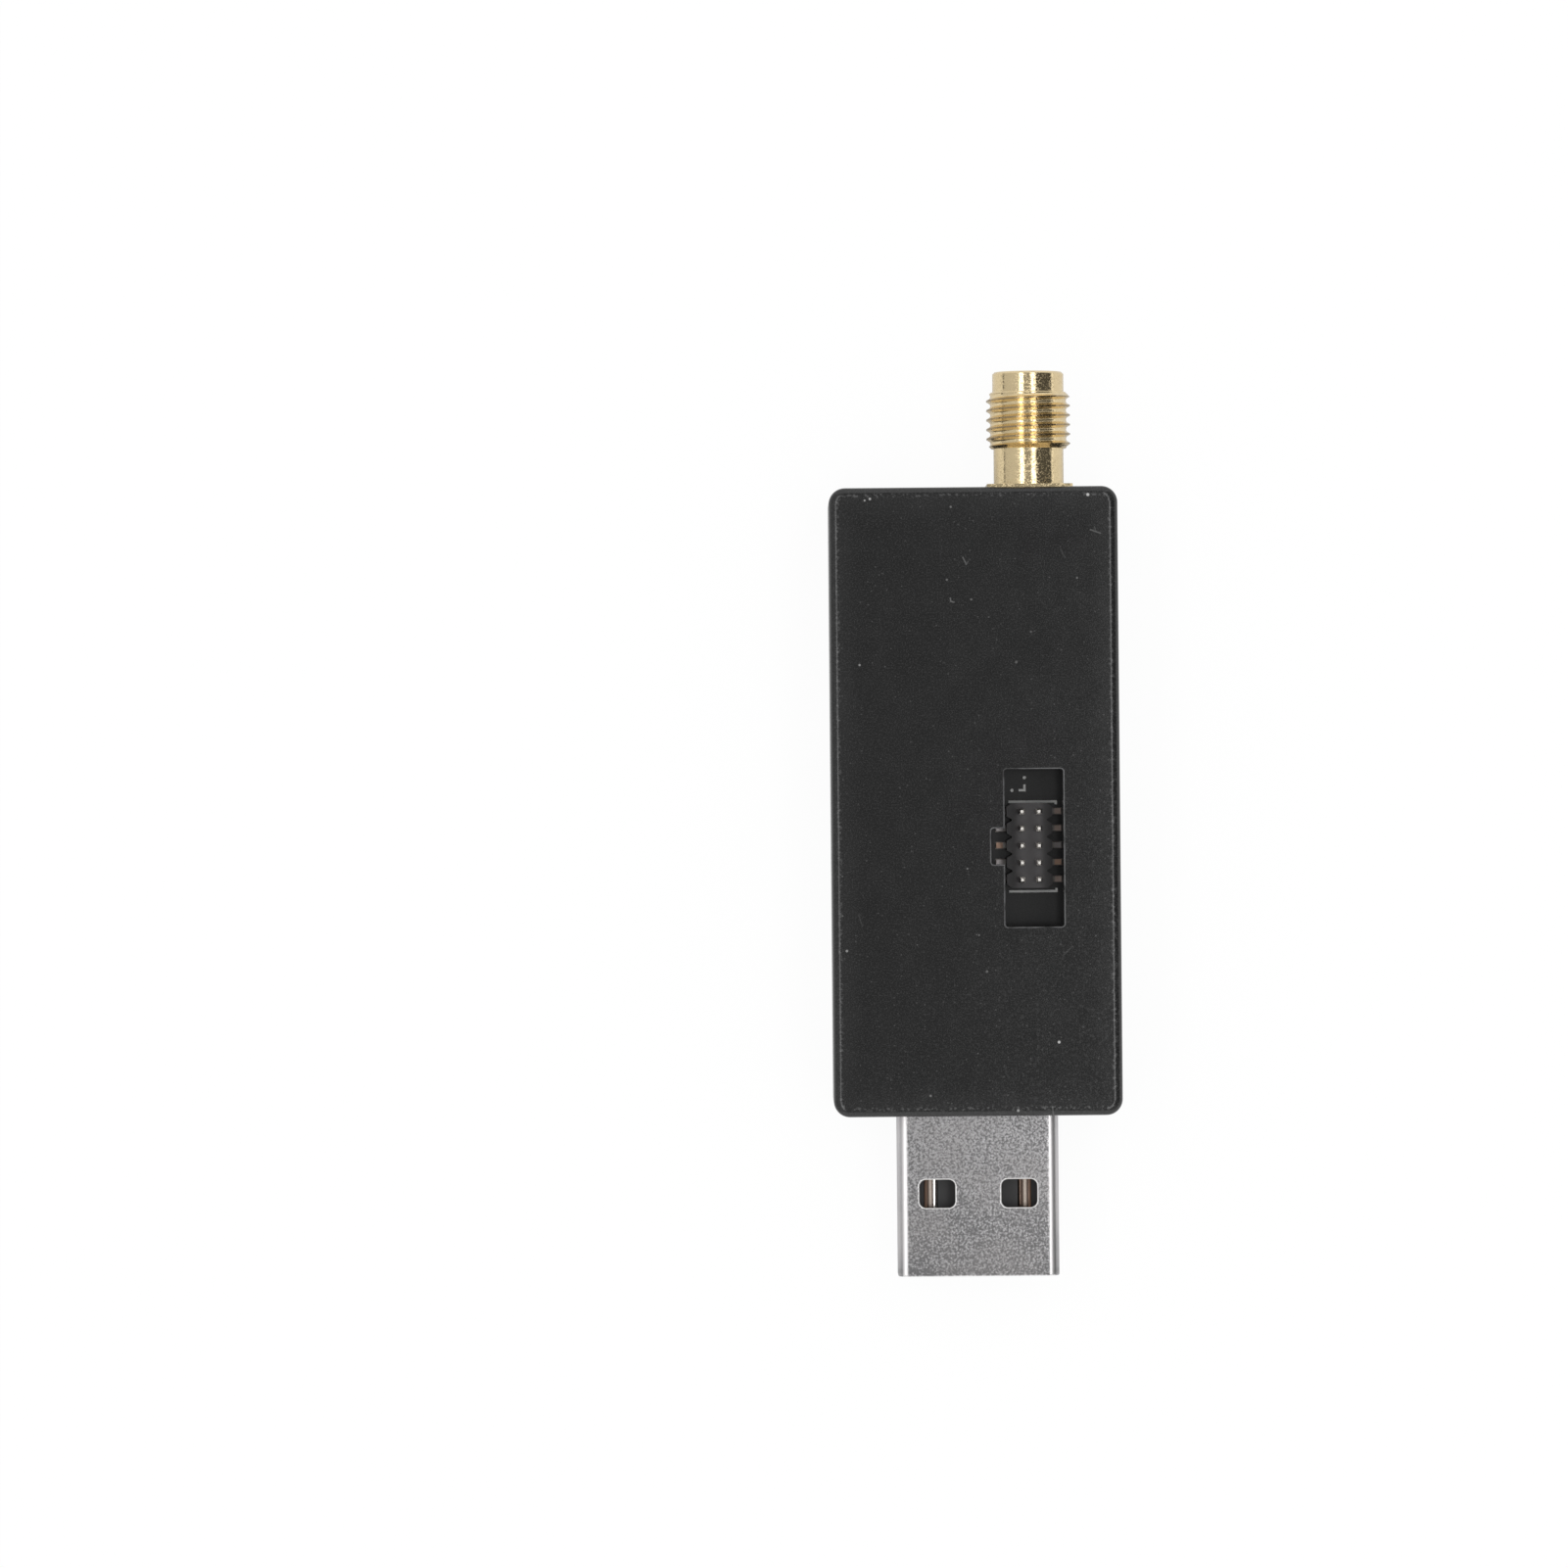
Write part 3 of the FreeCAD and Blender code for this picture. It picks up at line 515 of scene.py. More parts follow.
def case_plastic(look):
    """Black moulded plastic: fine grain, faint clouds, a mottle and dust that thicken to one
    corner, a painted sheen that lightens it towards that corner and along the edge, a painted
    highlight line inside the edge that is partly wear, a painted highlight round the window, and
    the specks and scratches of the roof."""
    r = Recipe("case_plastic")
    x, y, z = r.axes()
    grain = r.noise(look.grain_size, detail=3.0)
    cloud = r.noise(4.0 * MM, detail=3.0)
    patch = r.noise(1.3 * MM)
    mottle = r.noise(0.24 * MM)
    # A ramp towards the right and the plug end: it thickens the dust and the mottle, and as a
    # painted sheen it lightens the tone
    corner = (x * 45.0 - y * 24.0 + cloud * 0.9).fade(0.2, 1.4)
    share = look.dust_share * (0.35 + corner)
    fine_dust = r.flecks(0.28 * MM, share, 0.10, 0.30) * (0.25 + patch * 0.7)
    coarse_dust = r.flecks(1.1 * MM, share * 0.55, 0.03, 0.075)
    dust = (fine_dust * 0.075).most(coarse_dust * 0.11)
    marks = 0.0
    for spot_x, spot_y, radius, strength in FACE_SPECKS:
        mark = r.spot(spot_x * MM, spot_y * MM, radius * MM) * (strength * look.speck_share)
        marks = mark.most(marks)
    for start, end, half_width, strength in FACE_STROKES:
        ends = [tuple(value * MM for value in point) for point in (start, end)]
        marks = marks.most(r.stroke(*ends, half_width * MM) * (strength * look.scratch_share))
    roof = z.fade(CASE_HIGH.z - 0.9 * MM, CASE_HIGH.z - 0.5 * MM)
    marks = marks * roof
    window = r.rectangle(x - WINDOW_MIDDLE[0], y - WINDOW_MIDDLE[1], WINDOW_SIZE, WINDOW_RADIUS)
    notch = r.rectangle(x - NOTCH_MIDDLE[0], y - NOTCH_MIDDLE[1], NOTCH_SIZE, WINDOW_RADIUS)
    window = window.least(notch)
    # A painted highlight round the window's rim, broken up by the patches
    rim = abs(window - RIM_INSET).fade(0.075 * MM, 0.02 * MM) * patch.fade(0.25, 0.6) * roof
    middle = (CASE_HIGH + CASE_LOW) / 2
    outline = r.rectangle(x - middle.x, y - middle.y, CASE_HIGH - CASE_LOW, CASE_CORNER)
    # A painted sheen: lighter over the last 2 mm up to the highlight line
    edge = outline.fade(-HIGHLIGHT_INSET - 2.0 * MM, -HIGHLIGHT_INSET)
    # A painted highlight line, partly wear, where the roof's rounded edge begins, broken up by the
    # mottle
    worn = abs(outline + HIGHLIGHT_INSET).fade(0.22 * MM, 0.05 * MM) * mottle.fade(0.50, 0.68)
    # The tone: random clouds, with the painted sheen lightening it towards the corner
    tone = 0.66 + cloud * 0.34 + corner * 0.26
    base = r.mix(tone, (0.0, 0.0, 0.0), look.plastic)
    # The painted sheen towards the edge
    base = r.mix(edge * 0.010, base, (0.6, 0.6, 0.6))
    base = r.mix(grain.fade(0.46, 0.70) * 0.0385, base, (0.5, 0.5, 0.5))
    base = r.mix(mottle.fade(0.50, 0.72) * (0.007 + corner * 0.029), base, (0.5, 0.5, 0.5))
    # The painted highlight line, partly wear
    base = r.mix(worn * 0.09, base, (0.6, 0.6, 0.6))
    # The painted rim highlight, in the rim colour
    base = r.mix(rim, base, look.rim)
    base = r.mix(dust.most(marks), base, look.dust)
    normal = r.bump(cloud, 0.02 * MM)
    normal = r.bump(grain, look.grain_depth, normal)
    roughness = look.roughness + (patch - 0.5) * 0.10 + dust * 2.0 + marks * 0.3
    return r.finish(base_color=base, roughness=roughness, normal=normal)


def nickel_sheet(look):
    """Nickel-plated steel sheet: a granular, slightly orange-peeled surface with a painted shading
    that darkens it towards the mouth, a painted shade along the mouth's edge, a painted
    highlight along its bends, and a pale painted highlight round its windows."""
    r = Recipe("nickel_sheet")
    x, y, _ = r.axes()
    fleck = r.noise(look.fleck_size)
    blot = r.noise(3.5 * MM)
    bend = abs(x).fade(PLUG_HIGH.x - 0.9 * MM, PLUG_HIGH.x - 0.6 * MM)
    flat = 1.0 - bend * 0.95
    # A painted shade along the mouth's rounded edge
    mouth_shade = abs(y - PLUG_LOW.y - 0.42 * MM).fade(0.26 * MM, 0.08 * MM)
    # The tone: the plating's flecks and blots, with a painted shading that darkens it towards the
    # mouth
    tone = (fleck - 0.5) * flat * 3.4 + (blot - 0.5) * 0.6 + (y - PLUG_LOW.y) * 30.0 + 0.33
    tone = tone - mouth_shade * 0.18
    base = r.mix(tone.fade(0.0, 1.0), shade(look.nickel, 0.55), shade(look.nickel, 1.22))
    base = r.mix(blot.fade(0.35, 0.7) * 0.3, base, (0.58, 0.55, 0.54))
    # A painted highlight along each bend
    bend_highlight = abs(abs(x) - (PLUG_HIGH.x - 0.54 * MM)).fade(0.24 * MM, 0.13 * MM)
    base = r.mix(bend_highlight * 0.75, base, (0.97, 0.95, 0.95))
    window = r.rectangle(abs(x) - PLUG_WINDOW_MIDDLE[0], y - PLUG_WINDOW_MIDDLE[1],
                         PLUG_WINDOW_SIZE, PLUG_WINDOW_RADIUS)
    # A pale painted highlight round each window's rim
    rim = abs(window - 0.02 * MM).fade(0.085 * MM, 0.02 * MM)
    base = r.mix(rim, base, (0.88, 0.87, 0.86))
    normal = r.bump(fleck * flat, 0.006 * MM)
    roughness = 0.13 + fleck * 0.10 + rim * 0.2 + bend * 0.20
    return r.finish(base_color=base, metallic=1.0 - rim * 0.75, roughness=roughness,
                    normal=normal)


def contact_strip(look):
    """Plated contacts: a pale middle strip between two strips of painted dark shade, a painted
    brown shade on the outer edge, and an inner edge that slopes down by 8 degrees and carries
    a painted highlight on the left."""
    edge_slope = math.radians(8)
    r = Recipe("contact_strip")
    x, _, _ = r.axes()
    outer = abs(x) > (INNER_CONTACT + OUTER_CONTACT) / 2
    across = abs(x) - INNER_CONTACT - outer * (OUTER_CONTACT - INNER_CONTACT)
    unshaded_middle = abs(across - 0.03 * MM).fade(0.17 * MM, 0.05 * MM)
    inner_highlight = abs(across + 0.34 * MM).fade(0.17 * MM, 0.13 * MM) * (1.0 - (x > 0.0))
    edge = (-0.20 * MM - across).most(0.0) * (1.0 - (x > 0.0) * 0.9)
    outer_shade = across.fade(0.24 * MM, 0.34 * MM)
    soft = r.noise(0.5 * MM, vector=r.stretched(1.0, 0.2, 1.0))
    base = r.mix(soft, shade(look.contact, 0.85), shade(look.contact, 1.1))
    # Away from the middle strip the colour is a painted shade, dark brown
    base = r.mix(unshaded_middle, (0.17, 0.12, 0.095), base)
    # A painted highlight along the inner edge of the left contacts
    base = r.mix(inner_highlight, base, (0.98, 0.95, 0.92))
    # A painted brown shade on the outer edge, dull rather than metal
    base = r.mix(outer_shade, base, (0.34, 0.22, 0.16))
    normal = r.bump(edge * (-1 / MM), math.tan(edge_slope) * MM)
    return r.finish(base_color=base, metallic=1.0 - outer_shade * 0.8, roughness=0.20,
                    normal=normal)


def plated(name, tint, roughness):
    """Plated metal with faint drawing marks and small changes of tone."""
    r = Recipe(name)
    soft = r.noise(0.5 * MM)
    fine = r.noise(0.06 * MM, vector=r.stretched(1.0, 0.12, 1.0))
    base = r.mix(soft, shade(tint, 0.92), shade(tint, 1.06))
    return r.finish(base_color=base, metallic=1.0, roughness=roughness + fine * 0.10,
                    normal=r.bump(fine, 0.002 * MM))


def turned_gold(look):
    """Gold plating on a turned barrel: fine rings from the tool, a dull grit that shows where
    the gold mirrors something dark, and a painted brown shade on the thread's crests and at
    its inner end."""
    r = Recipe("turned_gold")
    x, y, z = r.axes()
    spoke = r.node("ShaderNodeCombineXYZ", inputs={0: x - BARREL_X, 1: z - BARREL_Z})
    reach = r.vector("LENGTH", spoke, output="Value")
    # The crests and the thread's inner end get a painted brown shade
    crest = reach.fade(look.thread_radius - 0.06 * MM, look.thread_radius - 0.02 * MM)
    thread_start = JACK_HIGH.y - look.pilot_length - look.thread_length
    inner_end_shade = abs(y - thread_start - 0.08 * MM).fade(0.20 * MM, 0.14 * MM)
    inner_end_shade = inner_end_shade * (reach > look.thread_radius - look.thread_depth)
    crest = (crest * (y > thread_start)).most(inner_end_shade * 0.6)
    rings = r.noise(0.05 * MM, vector=r.stretched(0.04, 1.0, 0.04))
    soft = r.noise(0.7 * MM)
    grit = r.noise(0.13 * MM)
    dull = grit.fade(0.50, 0.60)
    base = r.mix(soft, shade(look.gold, 0.93), shade(look.gold, 1.05))
    base = r.mix(dull * 0.25, base, shade(look.gold, 0.75))
    # The painted brown shade on the crests and the inner end
    base = r.mix(crest * 0.66, base, (0.17, 0.11, 0.07))
    normal = r.bump(rings, 0.0016 * MM)
    normal = r.bump(soft, 0.006 * MM, normal)
    normal = r.bump(grit, 0.005 * MM, normal)
    return r.finish(base_color=base, metallic=1.0, roughness=0.11 + dull * 0.26, normal=normal)


def clouded(recipe, tint, grain):
    """A tint with clouds and a fine grain in it, and that grain."""
    fine = recipe.noise(grain, detail=3.0)
    cloud = recipe.noise(1.5 * MM)
    return recipe.mix(cloud * 0.6 + fine * 0.4, shade(tint, 0.85), shade(tint, 1.15)), fine


def plain_plastic(name, tint, roughness):
    """Moulded plastic with a slight grain and clouding."""
    r = Recipe(name)
    base, fine = clouded(r, tint, 0.12 * MM)
    return r.finish(base_color=base, roughness=roughness + (fine - 0.5) * 0.12,
                    normal=r.bump(fine, 0.003 * MM))


def header_plastic(look):
    """Moulded plastic with a painted shade that darkens it outside its two rows of pins."""
    r = Recipe("header_plastic")
    x, _, _ = r.axes()
    # A painted shade outside the two rows of pins
    outer = abs(x - HEADER_MIDDLE.x).fade(0.70 * MM, 1.25 * MM)
    base, fine = clouded(r, look.plastic, 0.18 * MM)
    base = r.mix(outer, base, shade(look.plastic, 0.42))
    return r.finish(base_color=base, roughness=0.40 + (fine - 0.5) * 0.12,
                    normal=r.bump(fine, 0.003 * MM))


def header_pin_metal(look):
    """Pale plated pins whose feet change towards their cut ends to a colour that is partly the cut
    metal and partly painted shade, most of them brown, some copper or grey; the copper feet on
    the left, and the low parts of the pins that the body shades, get more painted shade."""
    r = Recipe("header_pin_metal")
    x, y, z = r.axes()
    reach = abs(x - HEADER_MIDDLE.x)
    foot = reach.fade(FOOT_REACH - 0.58 * MM, FOOT_REACH - 0.42 * MM) * (z < BOARD_TOP + 1.0 * MM)
    soft = r.noise(0.25 * MM)
    base = r.mix(soft, shade(look.pin, 0.93), shade(look.pin, 1.05))
    # A painted shade low down, where the body shades the pins
    shaded_low_part = z < BOARD_TOP + 0.45 * MM
    row = (y - HEADER_MIDDLE.y) * (1 / PIN_PITCH)
    left_side = x < HEADER_MIDDLE.x
    middle_row = abs(row) < 0.5
    coppery = (left_side * middle_row).most((1.0 - left_side) * (abs(row + 1.0) < 0.5))
    greyish = (left_side * (1.0 - middle_row)).most((1.0 - left_side) * middle_row)
    # The copper feet on the left get a painted shade
    copper = r.mix(left_side, look.copper_foot, shade(look.copper_foot, 0.6))
    cut = r.mix(coppery, look.foot, copper)
    cut = r.mix(greyish, cut, look.grey_foot)
    base = r.mix(shaded_low_part, base, shade(look.pin, 0.44))
    base = r.mix(foot, base, cut)
    return r.finish(base_color=base, metallic=1.0, roughness=0.26 + soft * 0.12,
                    normal=r.bump(soft, 0.004 * MM))


def board_lacquer(look):
    """Black lacquer that waves a little over its glass cloth, with the raw glass showing on the
    board's edge."""
    r = Recipe("board_lacquer")
    x, y, _ = r.axes()
    # The Wave node turns 20 radians in each unit of its scaled coordinate
    warp, weft = (
        r.node("ShaderNodeTexWave", {"bands_direction": direction}, {
            "Vector": r.place, "Scale": 1 / (20 * radian), "Distortion": 0.6, "Detail": 1.0},
            output=1)
        for direction, radian in (("X", 0.5 * MM), ("Y", 0.45 * MM)))
    speck = r.noise(0.08 * MM)
    middle, half = box_middle("circuit_board"), box_half("circuit_board")
    edge = (abs(x - middle.x) > half.x - 0.01 * MM).most(abs(y - middle.y) > half.y - 0.01 * MM)
    base = r.mix(speck, shade(look.mask, 0.75), shade(look.mask, 1.3))
    base = r.mix(edge, base, (0.16, 0.14, 0.07))
    normal = r.bump(warp * weft, 0.002 * MM)
    return r.finish(base_color=base, roughness=0.13 + edge * 0.5, normal=normal)


def board_ink(look):
    """Printed ink, a little worn."""
    r = Recipe("board_ink")
    worn = r.noise(0.12 * MM, detail=3.0)
    base = r.mix(worn.fade(0.25, 0.6), shade(look.ink, 0.9), look.ink)
    return r.finish(base_color=base, roughness=0.6, normal=r.bump(worn, 0.004 * MM))


def chip_finish(name, node):
    """Dull moulded epoxy with a row of tinned lands low on each side."""
    low, middle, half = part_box(node)[0], box_middle(node), box_half(node)
    half_pitch, half_gap, depth, height = 0.25 * MM, 0.14 * MM, 0.02 * MM, 0.25 * MM
    r = Recipe(name)
    x, y, z = r.axes()
    at_end = (abs(y - middle.y) > half.y - depth) * ((x - low.x).swing(half_pitch) > half_gap)
    at_side = (abs(x - middle.x) > half.x - depth) * ((y - low.y).swing(half_pitch) > half_gap)
    land = at_end.most(at_side) * (z < low.z + height)
    fine = r.noise(0.07 * MM, detail=3.0)
    base = r.mix(fine, (0.020, 0.020, 0.021), (0.045, 0.045, 0.046))
    base = r.mix(land, base, (0.70, 0.68, 0.64))
    return r.finish(base_color=base, metallic=land, roughness=0.62 - land * 0.3,
                    normal=r.bump(fine, 0.005 * MM))


def crystal_finish(name, node):
    """A ceramic base with a brushed metal lid."""
    base_height = 0.36 * MM
    r = Recipe(name)
    _, _, z = r.axes()
    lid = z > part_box(node)[0].z + base_height
    brushed = r.noise(0.05 * MM, vector=r.stretched(0.1, 1.0, 1.0))
    metal = r.mix(brushed, (0.66, 0.65, 0.62), (0.80, 0.79, 0.76))
    base = r.mix(lid, (0.22, 0.20, 0.17), metal)
    return r.finish(base_color=base, metallic=lid, roughness=0.55 - lid * 0.25,
                    normal=r.bump(brushed, 0.003 * MM))


def leaded_finish(name, node):
    """Dull epoxy with tinned leads on its two long sides."""
    lead_length = 0.6 * MM
    r = Recipe(name)
    x, _, _ = r.axes()
    lead = abs(x - box_middle(node).x) > box_half(node).x - lead_length
    fine = r.noise(0.07 * MM, detail=3.0)
    base = r.mix(fine, (0.022, 0.022, 0.023), (0.050, 0.050, 0.051))
    base = r.mix(lead, base, (0.74, 0.72, 0.69))
    return r.finish(base_color=base, metallic=lead, roughness=0.6 - lead * 0.3,
                    normal=r.bump(fine, 0.004 * MM))


def capped_finish(name, node, ceramic):
    """A ceramic body between two tinned end caps."""
    middle, half = box_middle(node), box_half(node)
    cap_share = 0.22
    r = Recipe(name)
    x, y, _ = r.axes()
    along = abs(x - middle.x) if half.x > half.y else abs(y - middle.y)
    cap = along > max(half.x, half.y) * (1 - 2 * cap_share)
    fine = r.noise(0.06 * MM, detail=3.0)
    base = r.mix(fine, shade(ceramic, 0.85), shade(ceramic, 1.15))
    tin = r.mix(fine, (0.62, 0.61, 0.60), (0.78, 0.77, 0.75))
    base = r.mix(cap, base, tin)
    return r.finish(base_color=base, metallic=cap, roughness=0.5 - cap * 0.15,
                    normal=r.bump(fine, 0.004 * MM))


def grid_mesh(name, points):
    """A closed tube from rows of points: each row is a ring, joined to the next by quads, and
    the first and last rings are capped."""
    rows, columns = points.shape[:2]
    row, column = np.meshgrid(np.arange(rows - 1), np.arange(columns), indexing="ij")
    beside = (column + 1) % columns
    corners = (row * columns + column, row * columns + beside,
               (row + 1) * columns + beside, (row + 1) * columns + column)
    quads = np.stack(corners, axis=-1).reshape(-1, 4).tolist()
    first = list(range(columns))[::-1]
    last = [(rows - 1) * columns + index for index in range(columns)]
    mesh = bpy.data.meshes.new(name)
    mesh.from_pydata(points.reshape(-1, 3).tolist(), [], quads + [first, last])
    return mesh


def joined(name, meshes):
    """One mesh of several closed ones, with its faces turned outwards."""
    whole = bmesh.new()
    for mesh in meshes:
        whole.from_mesh(mesh)
    bmesh.ops.recalc_face_normals(whole, faces=whole.faces)
    result = bpy.data.meshes.new(name)
    whole.to_mesh(result)
    whole.free()
    for mesh in meshes:
        bpy.data.meshes.remove(mesh)
    return result


def linked(name, data):
    """A new object at the origin, in the scene."""
    made = bpy.data.objects.new(name, data)
    bpy.context.scene.collection.objects.link(made)
    return made


def piece(name, mesh, material, smooth_angle=None):
    """A new piece that rides on the stick."""
    made = linked(name, mesh)
    mesh.materials.clear()
    mesh.materials.append(material)
    if smooth_angle is not None:
        mesh.shade_smooth()
        mesh.set_sharp_from_angle(angle=smooth_angle)
    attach(made, "root")
    return made


def dress(material, *nodes):
    """Gives solids of the frame their finish."""
    for node in nodes:
        NODES[node].material_slots[0].material = material


def thread_cutter(look):
    """The tool that cuts the jack's thread: a rounded V carried along a right-hand helix. At a
    turn t it stands at x = r sin t, z = r cos t, and it moves along the barrel by one pitch a
    turn. Its nose is an arc that ends where it meets the flanks, which lean by 30 degrees each,
    and it leaves a crest an eighth of the pitch wide."""
    pitch = look.pitch
    clear = 0.025 * MM
    flank = math.radians(30)
    slope = math.tan(flank)
    half_groove = pitch * 7 / 16
    nose = (half_groove - look.thread_depth * slope) / (
        math.cos(flank) - (1 - math.sin(flank)) * slope)
    root = look.thread_radius - look.thread_depth
    top = look.thread_radius + clear
    wide = half_groove + clear * slope
    lean = np.linspace(flank - math.pi / 2, math.pi / 2 - flank, 9)
    arc = np.stack((root + nose * (1 - np.cos(lean)), nose * np.sin(lean)), axis=-1)
    section = np.concatenate((arc, [(top, wide), (top, -wide)]))
    thread_start = JACK_HIGH.y - look.pilot_length - look.thread_length
    turns = math.ceil(look.thread_length / pitch) + 1
    turn = np.linspace(0.0, 2 * np.pi * turns, turns * look.steps + 1)[:, None]
    middle = thread_start + look.start - pitch + pitch * turn / (2 * np.pi)
    radius = section[None, :, 0]
    points = np.stack((
        BARREL_X + radius * np.sin(turn),
        middle + section[None, :, 1] + 0 * radius,
        BARREL_Z + radius * np.cos(turn),
    ), axis=-1)
    mesh = joined("thread_cutter", [grid_mesh("thread_cutter", points)])
    return linked("thread_cutter", mesh)


def merge(mesh, gap):
    """Merges the vertices that lie closer than a gap, and drops faces without area."""
    solid = bmesh.new()
    solid.from_mesh(mesh)
    bmesh.ops.remove_doubles(solid, verts=solid.verts, dist=gap)
    bmesh.ops.dissolve_degenerate(solid, edges=solid.edges, dist=gap)
    solid.to_mesh(mesh)
    solid.free()


def threaded_barrel(look, material):
    """Makes the jack's body with its thread cut: a copy of the solid, merged, less the
    cutter."""
    mesh = NODES["antenna_jack_body"].data.copy()
    mesh.attributes.remove(mesh.attributes["custom_normal"])
    merge(mesh, LOOSE_GAP)
    blank = linked("thread_blank", mesh)
    cutter = thread_cutter(look)
    cut = blank.modifiers.new("thread", "BOOLEAN")
    cut.operation = "DIFFERENCE"
    cut.solver = "EXACT"
    cut.object = cutter
    bpy.context.view_layer.update()
    finished = bpy.data.meshes.new_from_object(
        blank.evaluated_get(bpy.context.evaluated_depsgraph_get()))
    for spent in (blank, cutter):
        bpy.data.objects.remove(spent)
    if len(finished.polygons) < look.steps * 10:
        raise RuntimeError("the thread wasn't cut")
    merge(finished, SLIVER_GAP)
    barrel = piece("antenna_jack_body_threaded", finished, material, math.radians(32))
    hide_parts("antenna_jack_body")


def flat_print(name, outlines, bottom, height):
    """Closed outlines seen from above, as one mesh: each outline's ring of points stands at the
    bottom, and again at a height over it."""
    levels = np.array([(0.0, 0.0, bottom), (0.0, 0.0, bottom + height)])[:, None]
    rings = [np.pad(outline, ((0, 0), (0, 1))) for outline in outlines]
    return joined(name, [grid_mesh(name, ring + levels) for ring in rings])


def board_marks(look):
    """Outlines of the print, placed from the header's middle: a line before and behind it, each
    with a tick towards it at its right end, and a corner and two dots that mark the first
    pin."""
    width = look.line_width
    tick, arm, dot_radius = 0.14 * MM, 0.52 * MM, 0.12 * MM
    middle_x, middle_y = HEADER_MIDDLE.x, HEADER_MIDDLE.y
    left, right = middle_x - 1.48 * MM, middle_x + 2.15 * MM
    outlines = []
    for y, inwards in ((middle_y + 3.255 * MM, -1), (middle_y - 3.455 * MM, 1)):
        outer, inner = y - inwards * width / 2, y + inwards * width / 2
        outlines.append([
            (left, outer), (right, outer), (right, inner + inwards * tick),
            (right - width, inner + inwards * tick), (right - width, inner), (left, inner),
        ])
    corner_x, corner_y = middle_x - 0.18 * MM, middle_y + 4.035 * MM
    outlines.append([
        (corner_x - arm, corner_y), (corner_x, corner_y), (corner_x, corner_y + arm),
        (corner_x - width, corner_y + arm), (corner_x - width, corner_y + width),
        (corner_x - arm, corner_y + width),
    ])
    turn = np.linspace(0.0, 2 * np.pi, 20, endpoint=False)
    for dot_x, dot_y in ((-0.26 * MM, 5.055 * MM), (-1.21 * MM, 4.115 * MM)):
        outlines.append(np.stack((middle_x + dot_x + dot_radius * np.cos(turn),
                                  middle_y + dot_y + dot_radius * np.sin(turn)), axis=-1))
    return outlines


def solder_pads():
    """Outlines of the pads under the header's feet: rectangles a little wider than each foot,
    from under the body to just past the foot's end."""
    inwards, outwards, half = 1.5 * MM, 0.07 * MM, 0.27 * MM
    outlines = []
    for name in PIN_NODES:
        middle = box_middle(name)
        side = math.copysign(1, middle.x - HEADER_MIDDLE.x)
        inner = HEADER_MIDDLE.x + side * (FOOT_REACH - inwards)
        outer = HEADER_MIDDLE.x + side * (FOOT_REACH + outwards)
        low, high = middle.y - half, middle.y + half
        outlines.append([(inner, low), (outer, low), (outer, high), (inner, high)])
    return outlines


class DressCase(bpy.types.Operator):
    """Gives the two shells their moulded plastic"""

    bl_idname = "radio_stick.dress_case"
    bl_label = "Case"

    def execute(self, context):
        dress(case_plastic(context.scene.radio_stick_case), "top_shell", "bottom_shell")
        return {"FINISHED"}


class DressPlug(bpy.types.Operator):
    """Finishes the plug's shell, insulator and contacts"""

    bl_idname = "radio_stick.dress_plug"
    bl_label = "USB plug"

    def execute(self, context):
        look = context.scene.radio_stick_plug
        dress(nickel_sheet(look), "usb_plug_shell")
        dress(plain_plastic("plug_plastic", look.plastic, 0.34), "usb_plug_insulator")
        contacts = [name for name in NODES if name.startswith("usb_contact_")]
        dress(contact_strip(look), *contacts)
        return {"FINISHED"}


class CutJack(bpy.types.Operator):
    """Cuts the jack's thread and finishes the jack"""

    bl_idname = "radio_stick.cut_jack"
    bl_label = "Antenna jack"

    def execute(self, context):
        look = context.scene.radio_stick_jack
        threaded_barrel(look, turned_gold(look))
        dress(plated("socket_gold", look.gold, 0.12), "antenna_jack_contact")
        dress(plain_plastic("jack_plastic", look.insulator, 0.42), "antenna_jack_insulator")
        return {"FINISHED"}


class DressHeader(bpy.types.Operator):
    """Finishes the debug header and adds the pads under its feet"""

    bl_idname = "radio_stick.dress_header"
    bl_label = "Debug header"

    def execute(self, context):
        look = context.scene.radio_stick_header
        dress(header_plastic(look), "debug_header_body")
        dress(header_pin_metal(look), *PIN_NODES)
        mesh = flat_print("header_pads", solder_pads(), BOARD_TOP, look.pad_height)
        piece("header_pads", mesh, plated("pad_tin", look.pad, 0.40))
        return {"FINISHED"}


class DressBoard(bpy.types.Operator):
    """Finishes the circuit board and prints its marks"""

    bl_idname = "radio_stick.dress_board"
    bl_label = "Circuit board"

    def execute(self, context):
        look = context.scene.radio_stick_board
        dress(board_lacquer(look), "circuit_board")
        mesh = flat_print("board_print", board_marks(look), BOARD_TOP, look.ink_height)
        piece("board_print", mesh, board_ink(look))
        return {"FINISHED"}


class DressBoardParts(bpy.types.Operator):
    """Finishes the chips, crystals and small parts"""

    bl_idname = "radio_stick.dress_board_parts"
    bl_label = "Board parts"

    def execute(self, context):
        ceramics = {
            "resistor": (0.020, 0.020, 0.022),
            "capacitor": (0.36, 0.25, 0.15),
            "inductor": (0.10, 0.12, 0.11),
        }
        for node in NODES:
            kind = node.split("_")[0]
            if node.endswith("_chip"):
                dress(chip_finish(node + "_finish", node), node)
            elif node.endswith("_crystal"):
                dress(crystal_finish(node + "_finish", node), node)
            elif kind in ceramics:
                dress(capped_finish(node + "_finish", node, ceramics[kind]), node)
        dress(leaded_finish("regulator_finish", "voltage_regulator"), "voltage_regulator")
        return {"FINISHED"}


def background_share(writer, camera, gloss):
    """The share of the plain background in what the camera sees, and in what gloss and glass
    show."""
    path = writer.node("ShaderNodeLightPath").output.node.outputs
    seen, mirrored, passed = (
        Socket(writer, path[name])
        for name in ("Is Camera Ray", "Is Glossy Ray", "Is Transmission Ray"))
    return (seen * camera).most((mirrored + passed) * gloss).least(1.0)


